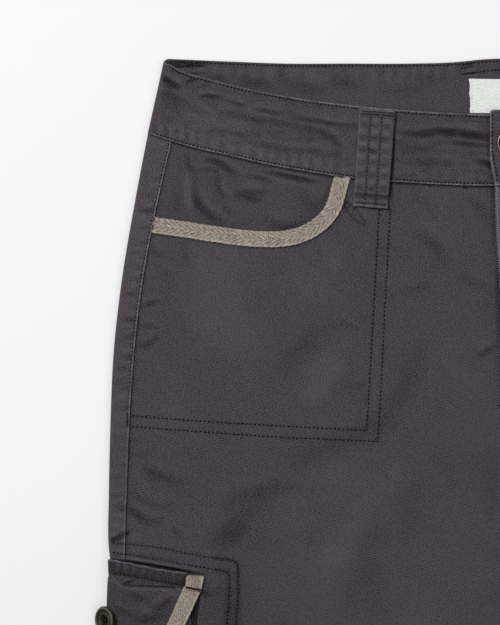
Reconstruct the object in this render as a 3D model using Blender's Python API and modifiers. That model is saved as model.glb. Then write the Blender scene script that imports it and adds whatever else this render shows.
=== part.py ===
"""Capri cargo trousers laid flat and face up, as the cloth pieces that a maker cuts and sews.

X runs across, with the wearer's left at +X. Y runs along the length, with the waist at +Y.
Z is up from the surface that the trousers lie on, and the origin is on that surface, in the
middle of the trousers. Sizes are in millimetres, and turn to metres where a mesh is made.

A place on the cloth is `out`, its distance from the centre line towards the side fold, and
`down`, its distance below the back waist. A height above the surface is a `level`. What is
`proud` lies outside the outer face of the leg. `side` is LEFT or RIGHT, as the wearer says it.
"""

import math

import bmesh
import bpy
import numpy as np

MM = 0.001
LEFT, RIGHT = 1, -1
SIDE_NAMES = {LEFT: "left", RIGHT: "right"}

# Lengths down the garment.
BACK_RISE = 0.6  # how far the centre back stands above the side of the waist
CROTCH = 264.0
HEM = 722.0
MIDDLE = (HEM - BACK_RISE) / 2
BAND_DEPTH = 46.0  # at the side

# Cloth walls, and the gaps between them.
WALL = 1.2
BAND_WALL = 1.4
POCKET_WALL = 1.2
TAPE_WALL = 1.0
LOOP_WALL = 1.6
LABEL_WALL = 1.0
FACING_WALL = 1.0
GAP = 0.3  # between pieces that meet at a seam
LAY = 0.4  # between a piece and what it lies on

# The side fold: the cloth turns over itself on this radius, measured on its outer face.
FOLD = 2.3
FOLD_STEPS = 6

# The fly: the left side lies over the right one, raised by a wall and a gap.
LAP_RISE = BAND_WALL + LAY
LAP_FLAT, LAP_END = 18.0, 60.0  # out: where the rise starts to ease, and where it is gone
LAP_LOW, LAP_GONE = 236.0, 290.0  # down: the same
UNDERLAP_BAND = -25.0  # out: the end of the right band, under the left one
BAND_STEP = 3.0  # the left band's top edge stands this much above the right one's

# Distances over which the folds of the front ease away, and the front comes down to the inseam.
BAND_FADE, CENTRE_FADE, SIDE_FADE = 26.0, 24.0, 14.0
INSEAM_FADE, CROTCH_FADE = 16.0, 30.0

# The cargo pocket is wrapped round the side fold. Its reach is measured in from the fold.
POCKET_PROUD = LAY + POCKET_WALL
MOUTH_TOP, MOUTH_SLOPE, POCKET_BOTTOM = 310.4, 0.178, 475.0
CASING = 8.0  # the depth of the gathered hem along the mouth
GATHER_PITCH, GATHER_HEIGHT = 9.0, 0.5
BODY_STEP = 0.7  # how far the body of the pocket stands above its gathered hem
POCKET_PUFF = 1.6
BUTTON_DOWN, BUTTON_TILT, BUTTON_RADIUS = 347.8, 48.0, 8.5

# Tapes, loops and label.
TAPE_WIDTH = 10.0
CARGO_TAPE_WIDTH = 10.5
SCOOP_START, SCOOP_CORNER, SCOOP_END = (221.0, 102.6), (114.6, 115.8), (101.6, 71.3)
SCOOP_RADIUS = 41.0
FACING_IN, FACING_LOW, FACING_EASE = 86.0, 124.0, 24.0
LOOP_ARCH = 1.5
WAIST_BUTTON_X, WAIST_BUTTON_DOWN, WAIST_BUTTON_RADIUS = 3.4, 52.5, 9.5
LABEL_HALF, LABEL_TOP, LABEL_LOW, LABEL_TILT = 22.9, 12.4, 33.8, 0.015

# A round sew-through button with a raised rim. Its section is turned, from the top to the base.
BUTTON_HEIGHT = 3.2
BUTTON_SIDES = 20
HOLE_RADIUS, HOLE_RING, HOLE_SIDES = 0.9, 2.0, 8


def table(columns, *rows):
    """A short table with named columns, one row for each section or fold."""
    return dict(zip(columns.split(), np.array(rows, float).T))


BUTTON_SECTION = table(
    "share height",
    (0.0, 1.9), (0.52, 1.9), (0.66, 2.4), (0.77, 3.2), (0.9, 3.1), (1.0, 1.9), (0.92, 0.5),
    (0.7, 0.0), (0.0, 0.0),
)
OUTLINE = table(
    "down out",
    (0, 212.0), (45, 222.6), (90, 230.8), (135, 238.4), (180, 243.8), (225, 246.1), (270, 247.1),
    (306, 246.3), (340, 246.6), (400, 247.4), (500, 247.0), (600, 243.0), (722, 237.0),
)
SIDE_SEAM = table(
    "down out",
    (52, 207.8), (98, 218.2), (149, 227.1), (199, 232.2), (257, 235.0), (310, 236.6), (400, 237.0),
    (600, 233.0), (722, 227.0),
)
INSEAM = table("down out", (264, 0.15), (290, 0.6), (351, 3.0), (450, 12.5), (600, 26.5), (722, 36.5))
FLY_EDGE = {
    LEFT: table("down out", (77, -7.4), (112, -6.1), (134, -4.3), (264, 0.15)),
    RIGHT: table("down out", (77, -12.0), (205, -12.0), (222, -6.0), (236, 1.3), (264, 0.15)),
}
FRONT_WAIST = table(
    "out down",
    (11, 35.1), (43, 33.9), (91, 30.6), (129, 25.5), (165, 17.7), (183, 13.7), (197, 9.2), (209, 3.3),
)
BACK_WAIST = table(
    "out down",
    (0, -0.6), (14, 0.0), (30, 1.9), (66, 3.0), (133, 3.1), (178, 1.3), (208, 0.0),
)
BAND_SEAM = table(
    "out down",
    (8, 78.3), (52, 77.1), (101, 72.9), (129, 68.6), (173, 59.2), (208, 50.8), (223, 45.8),
)
BACK_SEAM = table("out down", (0, 44.5), (110, 47.0), (223, 45.8))
POCKET_REACH = table("down reach", (310, 44.5), (335, 47.8), (400, 50.0), (475, 52.0))
LOOP_SIDES = table("down outer inner", (30.5, 90.7, 69.6), (91.5, 95.3, 73.7))
CARGO_TAPE = table(
    "down out", (320.4, 192.8), (328.5, 194.3), (351, 205.2), (372, 215.0), (388, 219.5)
)

# The largest folds of each front leg: where each is, its direction in degrees from straight
# out towards the hem, its half length, its half width, and its height (a trough is negative).
LEG_FOLDS = table(
    "out down turn length width height",
    (128, 188, 34, 46, 13, -1.0), (60, 197, 56, 40, 12, -0.9), (146, 270, 37, 66, 15, -1.1),
    (96, 236, 40, 60, 16, 0.7), (206, 258, 165, 26, 12, -0.7), (38, 128, 147, 42, 12, -0.8),
    (60, 330, 80, 90, 16, -0.8), (112, 380, 95, 80, 16, 0.8), (88, 505, 70, 85, 17, -1.0),
    (150, 590, 40, 75, 17, -0.9), (190, 640, 60, 60, 15, 0.7), (110, 660, 100, 55, 16, -0.7),
)
BAND_FOLDS = table(
    "out down turn length width height",
    (45, 46, 176, 34, 7, -0.6), (128, 44, 165, 42, 8, -0.6), (168, 40, 160, 36, 8, 0.5),
    (194, 30, 150, 20, 7, -0.6),
)
FACING_FOLDS = table(
    "out down turn length width height",
    (188, 83, 120, 24, 6, -0.6), (172, 80, 130, 26, 6, 0.6), (142, 78, 172, 26, 6, -0.6),
)
MIRRORED_FOLDS = {"out": 7.0, "down": 11.0, "height": 0.85}  # how the left leg's folds differ


def ease(t):
    """0 below 0 and 1 above 1, with a smooth step between."""
    t = np.clip(t, 0.0, 1.0)
    return t * t * (3 - 2 * t)


def read(rows, key, at, value):
    """A column of a table at places in its key column, on a smooth curve through the rows."""
    keys, values = rows[key], rows[value]
    slopes = np.gradient(values, keys)
    i = np.clip(np.searchsorted(keys, at) - 1, 0, len(keys) - 2)
    step = keys[i + 1] - keys[i]
    t = np.clip((at - keys[i]) / step, 0.0, 1.0)
    bend = t * (1 - t) * ((1 - t) * slopes[i] - t * slopes[i + 1]) * step
    return values[i] + (values[i + 1] - values[i]) * ease(t) + bend


def half_width(down):
    return read(OUTLINE, "down", down, "out")


def side_seam(down):
    return read(SIDE_SEAM, "down", down, "out")


def front_waist(side, out):
    """The top edge of the front band. The left one stands higher where it laps."""
    step = BAND_STEP * (1 - ease((out - 5) / 40)) if side == LEFT else 0.0
    return read(FRONT_WAIST, "out", out, "down") - step


def back_waist(out):
    return read(BACK_WAIST, "out", out, "down")


def band_seam(out):
    """The lower edge of the band's front."""
    return read(BAND_SEAM, "out", out, "down")


def wrapped_seam(stage, out):
    """The band's lower edge at a stage of the way round the fold. `out` leaves the fold out."""
    turn = ease(stage - 1)
    return (1 - turn) * read(BACK_SEAM, "out", out, "down") + turn * band_seam(out)


def inner_edge(side, down):
    """The fly's edge and centre seam down to the crotch, then the inseam."""
    fly = np.interp(down, FLY_EDGE[side]["down"], FLY_EDGE[side]["out"])
    return np.where(down < CROTCH, fly, read(INSEAM, "down", down, "out"))


def cargo_area(out, down):
    """1 where the cargo pocket lies, easing to 0 around it."""
    along = ease((down - 258) / 45) * (1 - ease((down - 483) / 50))
    return along * ease((out - 126) / 58)


def lift(out, down):
    """How far the leg lies above the surface, on the part of the cargo pocket that is under it."""
    return POCKET_PROUD * cargo_area(out, down)


def folds(rows, side, out, down):
    """The height of soft ridges and troughs: a bell across each fold, and one along it."""
    mirrored = side == LEFT
    height = 0.0
    for i in range(len(rows["out"])):
        over = out - rows["out"][i] - mirrored * MIRRORED_FOLDS["out"]
        below = down - rows["down"][i] - mirrored * MIRRORED_FOLDS["down"]
        turn = math.radians(rows["turn"][i])
        along = (over * math.cos(turn) + below * math.sin(turn)) / rows["length"][i]
        across = (below * math.cos(turn) - over * math.sin(turn)) / rows["width"][i]
        bell = np.exp(-(across**2)) * np.cos(np.clip(along, -1, 1) * math.pi / 2) ** 2
        height = height + rows["height"][i] * bell * (MIRRORED_FOLDS["height"] if mirrored else 1.0)
    return height


def front_level(side, out, down):
    """The top face of the front of the trousers, waistband and legs alike."""
    below_band = ease((down - band_seam(out)) / BAND_FADE)
    from_fold = ease((half_width(down) - 2 * FOLD - out) / SIDE_FADE)
    clear = ease((out - FOLD) / CENTRE_FADE) * from_fold * (1 - cargo_area(out, down))
    from_inseam = np.clip((out - inner_edge(side, down)) / INSEAM_FADE, 0, 1)
    leg = ease((down - CROTCH) / CROTCH_FADE + 0.2)
    on_leg = folds(LEG_FOLDS, side, out, down) * below_band * (1 - leg * (1 - ease(from_inseam)))
    on_band = folds(BAND_FOLDS, side, out, down) * (1 - below_band)
    level = lift(out, down) + 2 * FOLD + clear * (on_leg + on_band)
    if side == LEFT:
        lap = 1 - ease((out - LAP_FLAT) / (LAP_END - LAP_FLAT))
        level = level + LAP_RISE * lap * (1 - ease((down - LAP_LOW) / (LAP_GONE - LAP_LOW)))
    drop = (2 * FOLD - 2 * WALL - LAY) * leg * (1 - from_inseam) ** 2
    return level - drop


def round_fold(side, stage, reach_back, reach_front, down, proud=0.0):
    """A point on a piece that wraps round the side fold.

    stage 0 to 1 runs under the leg from `reach_back` to the fold, 1 to 2 round the fold, and
    2 to 3 over the leg, to `reach_front`. The reaches are measured in from the fold's centre.
    """
    centre = half_width(down) - FOLD
    radius = FOLD + proud
    angle = np.clip(stage - 1, 0, 1) * math.pi
    under, over = np.clip(1 - stage, 0, 1), np.clip(stage - 2, 0, 1)
    out = centre - under * reach_back - over * reach_front + radius * np.sin(angle)
    turning = lift(centre, down) + FOLD - radius * np.cos(angle)
    level = np.where(stage < 1, lift(out, down) - proud, turning)
    level = np.where(stage > 2, front_level(side, out, down) + proud, level)
    return out, level


def stages(under, over):
    """The stages where a wrapped piece has columns: fractions under and over, and an even turn."""
    turn = [1 + i / FOLD_STEPS for i in range(1, FOLD_STEPS)]
    return [*under, 1.0, *turn, 2.0, *(2 + f for f in over)]


def rounded(start, corner, end, radius, count=16):
    """Points along a straight line, an arc that rounds the corner, and another straight line."""
    start, corner, end = (np.array(p, float) for p in (start, corner, end))
    back, ahead = start - corner, end - corner
    back, ahead = back / np.linalg.norm(back), ahead / np.linalg.norm(ahead)
    half = math.acos(back @ ahead) / 2
    bisector = (back + ahead) / np.linalg.norm(back + ahead)
    centre = corner + bisector * radius / math.sin(half)
    first = corner + back * radius / math.tan(half) - centre
    last = corner + ahead * radius / math.tan(half) - centre
    sweep = math.pi - 2 * half
    t = np.linspace(0, 1, count)[:, None]
    arc = (np.sin((1 - t) * sweep) * first + np.sin(t * sweep) * last) / math.sin(sweep)
    return np.vstack([start, centre + arc, end])


SCOOP = rounded(SCOOP_START, SCOOP_CORNER, SCOOP_END, SCOOP_RADIUS)


def scoop(t, aside=0.0):
    """A place on the pocket mouth's tape, `aside` from its middle towards the opening."""
    place = np.concatenate([[0], np.cumsum(np.linalg.norm(np.diff(SCOOP, axis=0), axis=1))])
    out, down = (np.interp(t * place[-1], place, SCOOP[:, axis]) for axis in (0, 1))
    ahead = np.minimum(t + 0.01, 1.0) * place[-1]
    behind = np.maximum(t - 0.01, 0.0) * place[-1]
    run = np.array([np.interp(ahead, place, a) - np.interp(behind, place, a) for a in SCOOP.T])
    run = run / np.linalg.norm(run, axis=0)
    return out - run[1] * aside, down + run[0] * aside


def above_mouth(out, down):
    """How far a place is from the pocket mouth's edge, positive in the opening."""
    edge = np.array(scoop(np.linspace(0, 1, 80), TAPE_WIDTH / 2))
    middle = np.array(scoop(np.linspace(0, 1, 80)))
    place = np.stack([out, down])
    nearest = np.argmin(((place[:, :, None] - edge[:, None, :]) ** 2).sum(axis=0), axis=1)
    towards = (edge - middle)[:, nearest] / (TAPE_WIDTH / 2)
    return ((place - edge[:, nearest]) * towards).sum(axis=0)


def material(name, colour, roughness, metallic=0.0):
    made = bpy.data.materials.new(name)
    made.use_nodes = True
    shader = made.node_tree.nodes["Principled BSDF"]
    shader.inputs["Base Color"].default_value = (*colour, 1.0)
    shader.inputs["Roughness"].default_value = roughness
    shader.inputs["Metallic"].default_value = metallic
    made.diffuse_color = (*colour, 1.0)
    return made


def link(made, cloth, collection):
    made.data.materials.append(cloth)
    collection.objects.link(made)
    return made


def sheet(name, side, columns, rows, shape, wall, cloth, collection):
    """A cloth wall: a grid whose points `shape` places, made thick towards the inside.

    columns run from the back's inner edge, or the side, round to the front's inner edge, and
    rows run down. shape(column, row) gives arrays of out, down and the outer face's level.
    """
    bm = bmesh.new()
    bmesh.ops.create_grid(bm, x_segments=len(columns) - 1, y_segments=len(rows) - 1, size=1.0)
    grid = (np.array([v.co for v in bm.verts]) + 1) / 2
    column = np.array(columns)[np.rint(grid[:, 0] * (len(columns) - 1)).astype(int)]
    row = np.array(rows)[np.rint(grid[:, 1] * (len(rows) - 1)).astype(int)]
    out, down, level = shape(column, row)
    for vertex, place in zip(bm.verts, np.stack([side * out, MIDDLE - down, level], axis=1) * MM):
        vertex.co = place
    if side == RIGHT:
        bmesh.ops.reverse_faces(bm, faces=bm.faces)
    mesh = bpy.data.meshes.new(name)
    bm.to_mesh(mesh)
    bm.free()
    mesh.shade_smooth()
    made = link(bpy.data.objects.new(name, mesh), cloth, collection)
    solid = made.modifiers.new("Wall", "SOLIDIFY")
    solid.thickness = wall * MM
    solid.offset = -1.0
    solid.use_even_offset = True
    return made


def steps(first, last, places):
    """Fractions of the way from first to last, from places given in millimetres."""
    return [(place - first) / (last - first) for place in places]


def back_panel(side, cloth, collection):
    """The back leg, from the centre back and inseam round the side fold to the side seam."""
    rows = steps(46, HEM, (46, 84, 122, 160, 198, 230, 250, 264, 279, 294, 311, 330, 375, 420, 460,
                           495, 513, 531, 550, 605, 665, HEM))

    def shape(stage, row):
        down = 46 + row * (HEM - 46)
        for _ in range(4):
            reach_back = half_width(down) - FOLD - np.maximum(inner_edge(LEFT, down), GAP / 2)
            reach_front = half_width(down) - FOLD - side_seam(down) - GAP / 2
            out, level = round_fold(side, stage, reach_back, reach_front, down)
            flat_out = out - FOLD * np.sin(np.clip(stage - 1, 0, 1) * math.pi)
            top = wrapped_seam(stage, flat_out) + GAP
            down = top + row * (HEM - top)
        return out, down, level

    under = (0, 0.05, 0.14, 0.28, 0.42, 0.56, 0.7, 0.85)
    columns = stages(under, (0.5, 1.0))
    return sheet(f"back_panel_{SIDE_NAMES[side]}", side, columns, rows, shape, WALL, cloth, collection)


def front_panel(side, cloth, collection):
    """The front leg, cut away along the pocket mouth."""
    rows = steps(78, HEM, (78, 96, 115, 135, 155, 180, 205, 222, 236, 250, 264, 278, 293, 320, 355,
                           395, 435, 470, 495, 513, 531, 550, 605, 665, HEM))
    mouth_share = 0.6  # of the columns' run, the part that ends on the pocket mouth
    edge_out, edge_down = scoop(np.array([1.0]), TAPE_WIDTH / 2)

    def top_edge(across):
        inner = float(inner_edge(side, np.array(78.0)))
        out_mouth, down_mouth = scoop(np.clip(across / mouth_share, 0, 1), TAPE_WIDTH / 2)
        along = np.clip((across - mouth_share) / (1 - mouth_share), 0, 1)
        out_seam = edge_out + (inner - edge_out) * along
        on_mouth = across <= mouth_share
        down_mouth = np.maximum(down_mouth, band_seam(out_mouth) + GAP)
        out = np.where(on_mouth, out_mouth, out_seam)
        return out, np.where(on_mouth, down_mouth, band_seam(out_seam) + GAP)

    def shape(across, row):
        """Rows follow the cut top edge, and straighten as they go down."""
        out_top, down_top = top_edge(across)
        side_top, inner_top = top_edge(np.zeros(1))[1], top_edge(np.ones(1))[1]
        side_down = side_top + row * (HEM - side_top)
        inner_down = inner_top + row * (HEM - inner_top)
        straight_down = side_down + (inner_down - side_down) * across
        side_out = side_seam(side_down) - GAP / 2
        inner_out = inner_edge(side, inner_down)
        straight_out = side_out + (inner_out - side_out) * across
        chord_down = side_top + (inner_top - side_top) * across
        chord_out = top_edge(np.zeros(1))[0] * (1 - across) + top_edge(np.ones(1))[0] * across
        fade = (1 - row) ** 4
        out = straight_out + (out_top - chord_out) * fade
        down = straight_down + (down_top - chord_down) * fade
        out = np.minimum(out, side_seam(down) - GAP / 2)
        return out, down, front_level(side, out, down)

    columns = (0, 0.09, 0.18, 0.27, 0.34, 0.40, 0.46, 0.52, 0.6, 0.68, 0.76, 0.84, 0.9, 0.94, 0.975, 1)
    return sheet(f"front_panel_{SIDE_NAMES[side]}", side, columns, rows, shape, WALL, cloth, collection)


def pocket_facing(side, cloth, collection):
    """The piece inside the pocket mouth, which dips to pass under the front leg."""

    def shape(across, row):
        down = np.full_like(across, 80.0)
        for _ in range(3):
            outer = side_seam(down) - 2 * GAP
            out = outer + (FACING_IN - outer) * across
            top = band_seam(out) + GAP
            low = FACING_LOW - 6 * (1 - across)
            down = top + (low - top) * row
        opening = above_mouth(out, down)
        sink = (WALL + LAY) * (1 - ease(opening / FACING_EASE))
        crease = folds(FACING_FOLDS, side, out, down) * ease((opening - 4) / 12)
        crease = crease * ease((down - band_seam(out) - 2) / 8) * ease((side_seam(down) - out) / 10)
        plain = front_level(side, out, down)
        return out, down, plain + crease - sink

    columns = [i / 9 for i in range(10)]
    rows = [i / 6 for i in range(7)]
    name = f"pocket_facing_{SIDE_NAMES[side]}"
    return sheet(name, side, columns, rows, shape, FACING_WALL, cloth, collection)


def pocket_tape(side, cloth, collection):
    """Twill tape along the pocket mouth, on the front leg, from the side seam to the band."""

    def shape(along, across):
        out, down = scoop(along, TAPE_WIDTH * (0.5 - across))
        out = np.minimum(out, side_seam(down) - GAP)
        down = np.maximum(down, band_seam(out) + GAP)
        return out, down, front_level(side, out, down) + LAY + TAPE_WALL

    columns = [i / 22 for i in range(23)]
    name = f"pocket_tape_{SIDE_NAMES[side]}"
    return sheet(name, side, columns, (0, 1), shape, TAPE_WALL, cloth, collection)


def waistband(side, cloth, collection):
    """Half of the shaped band, from the centre back round the side fold to the fly."""

    def shape(stage, row):
        turn = ease(stage - 1)
        centre = half_width(BAND_DEPTH * row) - FOLD
        end = np.interp(row, (0, 0.65, 1), (-10.7, -10.7, -7.4)) if side == LEFT else UNDERLAP_BAND
        back_out = centre + (GAP / 2 - centre) * np.clip(1 - stage, 0, 1)
        front_out = centre + (end - centre) * np.clip(stage - 2, 0, 1)
        flat_out = np.where(stage < 1, back_out, front_out)
        top = (1 - turn) * back_waist(flat_out) + turn * front_waist(side, flat_out)
        down = top + (wrapped_seam(stage, flat_out) - top) * row
        angle = np.clip(stage - 1, 0, 1) * math.pi
        out = flat_out + FOLD * np.sin(angle)
        level = np.where(stage > 2, front_level(side, out, down), FOLD - FOLD * np.cos(angle))
        return out, down, level

    over = (0.04, 0.11, 0.18, 0.26, 0.34, 0.42, 0.5, 0.58, 0.66, 0.74, 0.82, 0.88, 0.94, 1.0)
    columns = stages((0, 0.15, 0.3, 0.45, 0.6, 0.75, 0.9), over)
    name = f"waistband_{SIDE_NAMES[side]}"
    return sheet(name, side, columns, (0, 0.33, 0.67, 1), shape, BAND_WALL, cloth, collection)


def belt_loop(side, cloth, collection):
    """A loop sewn down at both ends, a little arched between them."""

    def shape(across, row):
        down = 30.5 + 61.0 * row + 1.8 * across
        outer = read(LOOP_SIDES, "down", down, "outer")
        inner = read(LOOP_SIDES, "down", down, "inner")
        out = outer + (inner - outer) * across
        arch = LOOP_ARCH * np.sin(math.pi * np.clip(row * 1.1 - 0.05, 0, 1)) ** 2
        return out, down, front_level(side, out, down) + LAY + LOOP_WALL + arch

    rows = [i / 10 for i in range(11)]
    name = f"belt_loop_{SIDE_NAMES[side]}"
    return sheet(name, side, (0, 0.5, 1), rows, shape, LOOP_WALL, cloth, collection)


def pocket_puff(reach_in, reach, down):
    """How far the pocket's front swells: gathers along its hem, and a fuller body below it."""
    below = down - MOUTH_TOP - MOUTH_SLOPE * reach_in
    swell = POCKET_PUFF * ease((below - CASING) / 50) * ease((POCKET_BOTTOM - down) / 60)
    body = BODY_STEP * ease((below - CASING) / 3) * ease((POCKET_BOTTOM - down) / 60)
    gather = GATHER_HEIGHT * (1 - np.cos(2 * math.pi * reach_in / GATHER_PITCH)) / 2
    gather = gather * (1 - ease((below - CASING - 4) / 24))
    return (body + swell + gather) * ease(reach_in / 9) * ease((reach - reach_in) / 9)


def cargo_pocket(side, cloth, collection):
    """The pocket on the leg, round the side fold, open along its gathered mouth."""
    depth = POCKET_BOTTOM - MOUTH_TOP
    rows = steps(0, depth, (0, CASING / 2, CASING, CASING + 3, 18, 28, 44, 66, 92, 118, 142, depth))

    def shape(stage, row):
        share = np.clip(1 - stage, 0, 1) + np.clip(stage - 2, 0, 1)
        down = MOUTH_TOP + depth * row
        for _ in range(2):
            reach = read(POCKET_REACH, "down", down, "reach")
            down = MOUTH_TOP + MOUTH_SLOPE * share * reach * (1 - row) + depth * row
        out, level = round_fold(side, stage, reach, reach, down, POCKET_PROUD)
        puff = np.where(stage > 2, pocket_puff(share * reach, reach, down), 0.0)
        return out, down, level + puff

    columns = stages((0, 0.33, 0.67), [i / 15 for i in range(1, 16)])
    name = f"cargo_pocket_{SIDE_NAMES[side]}"
    return sheet(name, side, columns, rows, shape, POCKET_WALL, cloth, collection)


def cargo_tape(side, cloth, collection):
    """The tape at the end of the pocket's mouth: sewn to the leg, then down over the pocket."""
    first, last = CARGO_TAPE["down"][0], CARGO_TAPE["down"][-1]

    def shape(across, row):
        down = first + (last - first) * row
        out = read(CARGO_TAPE, "down", down, "out")
        slant = (read(CARGO_TAPE, "down", down + 1, "out") - read(CARGO_TAPE, "down", down - 1, "out")) / 2
        aside = CARGO_TAPE_WIDTH * (0.5 - across)
        out, down = out + aside / np.hypot(1, slant), down - aside * slant / np.hypot(1, slant)
        centre = half_width(down) - FOLD
        reach = read(POCKET_REACH, "down", down, "reach")
        full = np.maximum(down, MOUTH_TOP + 22)
        puff = pocket_puff(np.clip(centre - out, 0, reach), reach, full)
        on_pocket = 1 - ease((centre - out - reach - 1) / 8)
        proud = (POCKET_PROUD + np.maximum(puff, GATHER_HEIGHT)) * on_pocket
        return out, down, front_level(side, out, down) + proud + LAY + TAPE_WALL

    rows = steps(first, last, (first, 324, 328.5, 334, 340, 347, 355, 364, 373, 381, last))
    name = f"cargo_tape_{SIDE_NAMES[side]}"
    return sheet(name, side, (0, 0.33, 0.67, 1), rows, shape, TAPE_WALL, cloth, collection)


def label(cloth, collection):
    """A plain label on the inside of the back band, over the centre back."""

    def shape(across, row):
        out = LABEL_HALF * (1 - 2 * across)
        down = LABEL_TOP + (LABEL_LOW - LABEL_TOP) * row + LABEL_TILT * out
        return out, down, np.full_like(out, BAND_WALL + GAP + LABEL_WALL)

    return sheet("label", LEFT, (0, 0.5, 1), (0, 1), shape, LABEL_WALL, cloth, collection)


def button_holes(cutters):
    """Four upright pegs that cut a button's holes."""
    bm = bmesh.new()
    for i in range(4):
        peg = bmesh.ops.create_cone(
            bm, cap_ends=True, segments=HOLE_SIDES, depth=4 * BUTTON_HEIGHT * MM,
            radius1=HOLE_RADIUS * MM, radius2=HOLE_RADIUS * MM,
        )
        turn = math.radians(45 + 90 * i)
        move = (HOLE_RING * math.cos(turn) * MM, HOLE_RING * math.sin(turn) * MM, 0)
        bmesh.ops.translate(bm, verts=peg["verts"], vec=move)
    mesh = bpy.data.meshes.new("button_holes")
    bm.to_mesh(mesh)
    bm.free()
    made = bpy.data.objects.new("button_holes", mesh)
    made.hide_render = True
    made.display_type = "WIRE"
    cutters.objects.link(made)
    return made


def button(name, radius, place, tilt, metal, collection, cutters):
    """A turned button, its base at place (x, down, level) and its face tilted about Y."""
    x, down, level = place
    mesh = bpy.data.meshes.new(name)
    section = np.stack([BUTTON_SECTION["share"] * radius, BUTTON_SECTION["height"]], axis=1) * MM
    edges = [(i, i + 1) for i in range(len(section) - 1)]
    mesh.from_pydata([(r, 0, z) for r, z in section], edges, [])
    made = link(bpy.data.objects.new(name, mesh), metal, collection)
    turned = made.modifiers.new("Turn", "SCREW")
    turned.steps = turned.render_steps = BUTTON_SIDES
    turned.use_merge_vertices = True
    turned.merge_threshold = 0.00001
    holes = button_holes(cutters)
    holes.name = f"{name}_holes"
    holes.parent = made
    cut = made.modifiers.new("Holes", "BOOLEAN")
    cut.operation = "DIFFERENCE"
    cut.object = holes
    made.location = (x * MM, (MIDDLE - down) * MM, level * MM)
    made.rotation_euler = (0, math.radians(tilt), 0)
    return made


def cargo_button(side, metal, collection, cutters):
    """The cargo pocket's button, on the side fold, facing up and outwards."""
    tilt = math.radians(BUTTON_TILT)
    seat = FOLD + POCKET_PROUD + LAY
    centre = float(half_width(np.array(BUTTON_DOWN))) - FOLD
    out = centre + seat * math.sin(tilt)
    level = POCKET_PROUD + FOLD + seat * math.cos(tilt)
    name = f"cargo_button_{SIDE_NAMES[side]}"
    place = (side * out, BUTTON_DOWN, level)
    return button(name, BUTTON_RADIUS, place, side * BUTTON_TILT, metal, collection, cutters)


def waist_button(metal, collection, cutters):
    out, down = np.array(WAIST_BUTTON_X), np.array(WAIST_BUTTON_DOWN)
    level = float(front_level(LEFT, out, down)) + LAY
    place = (WAIST_BUTTON_X, WAIST_BUTTON_DOWN, level)
    return button("waist_button", WAIST_BUTTON_RADIUS, place, 0, metal, collection, cutters)


def clear_scene():
    for made in list(bpy.data.objects):
        bpy.data.objects.remove(made, do_unlink=True)


def main():
    clear_scene()
    trousers = bpy.data.collections.new("capri_cargo_trousers")
    cutters = bpy.data.collections.new("cutters")
    for collection in (trousers, cutters):
        bpy.context.scene.collection.children.link(collection)

    twill = material("charcoal_cotton_twill", (0.065, 0.056, 0.063), 0.85)
    tape = material("taupe_twill_tape", (0.26, 0.22, 0.19), 0.8)
    white = material("white_woven_label", (0.74, 0.77, 0.76), 0.7)
    brass = material("antique_brass", (0.12, 0.09, 0.07), 0.4, metallic=0.9)

    for side in (RIGHT, LEFT):
        back_panel(side, twill, trousers)
        front_panel(side, twill, trousers)
        pocket_facing(side, twill, trousers)
        pocket_tape(side, tape, trousers)
        waistband(side, twill, trousers)
        belt_loop(side, twill, trousers)
        cargo_pocket(side, twill, trousers)
        cargo_tape(side, tape, trousers)
        cargo_button(side, brass, trousers, cutters)
    waist_button(brass, trousers, cutters)
    label(white, trousers)


main()
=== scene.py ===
"""Capri cargo trousers laid flat: cloth, sewing, tapes, label, buttons and stage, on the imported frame.

A place on the cloth is `out`, its distance in millimetres from the centre line towards the side
fold, and `down`, its distance below the back waist. A `level` is a height above the surface that
the trousers lie on. `side` is LEFT or RIGHT, as the wearer says it.
"""

import math

import bpy
import numpy as np
from bpy.props import FloatProperty, FloatVectorProperty, PointerProperty
from bpy.types import Operator, Panel, PropertyGroup
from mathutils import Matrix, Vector


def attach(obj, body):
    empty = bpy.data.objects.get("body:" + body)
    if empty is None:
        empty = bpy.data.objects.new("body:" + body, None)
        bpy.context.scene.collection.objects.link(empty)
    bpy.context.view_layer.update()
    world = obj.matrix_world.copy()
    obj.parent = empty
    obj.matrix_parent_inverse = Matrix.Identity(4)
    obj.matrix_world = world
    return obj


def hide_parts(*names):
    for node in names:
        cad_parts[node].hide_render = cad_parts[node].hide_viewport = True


bl_info = {
    "name": "Capri cargo trousers",
    "version": (1, 0, 0),
    "blender": (4, 5, 0),
    "location": "3D View > Sidebar > Trousers",
    "description": "Builds washed twill trousers, laid flat, round their packed frame",
    "category": "Add Mesh",
}

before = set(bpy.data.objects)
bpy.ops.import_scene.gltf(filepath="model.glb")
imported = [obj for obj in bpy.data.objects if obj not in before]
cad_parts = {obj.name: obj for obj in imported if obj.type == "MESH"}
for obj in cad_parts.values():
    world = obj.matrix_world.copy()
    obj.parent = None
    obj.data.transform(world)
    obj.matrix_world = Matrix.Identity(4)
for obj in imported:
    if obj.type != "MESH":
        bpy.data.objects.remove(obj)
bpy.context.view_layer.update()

MM = 0.001
LEFT, RIGHT = 1, -1
SIDES = {RIGHT: "right", LEFT: "left"}

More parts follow.
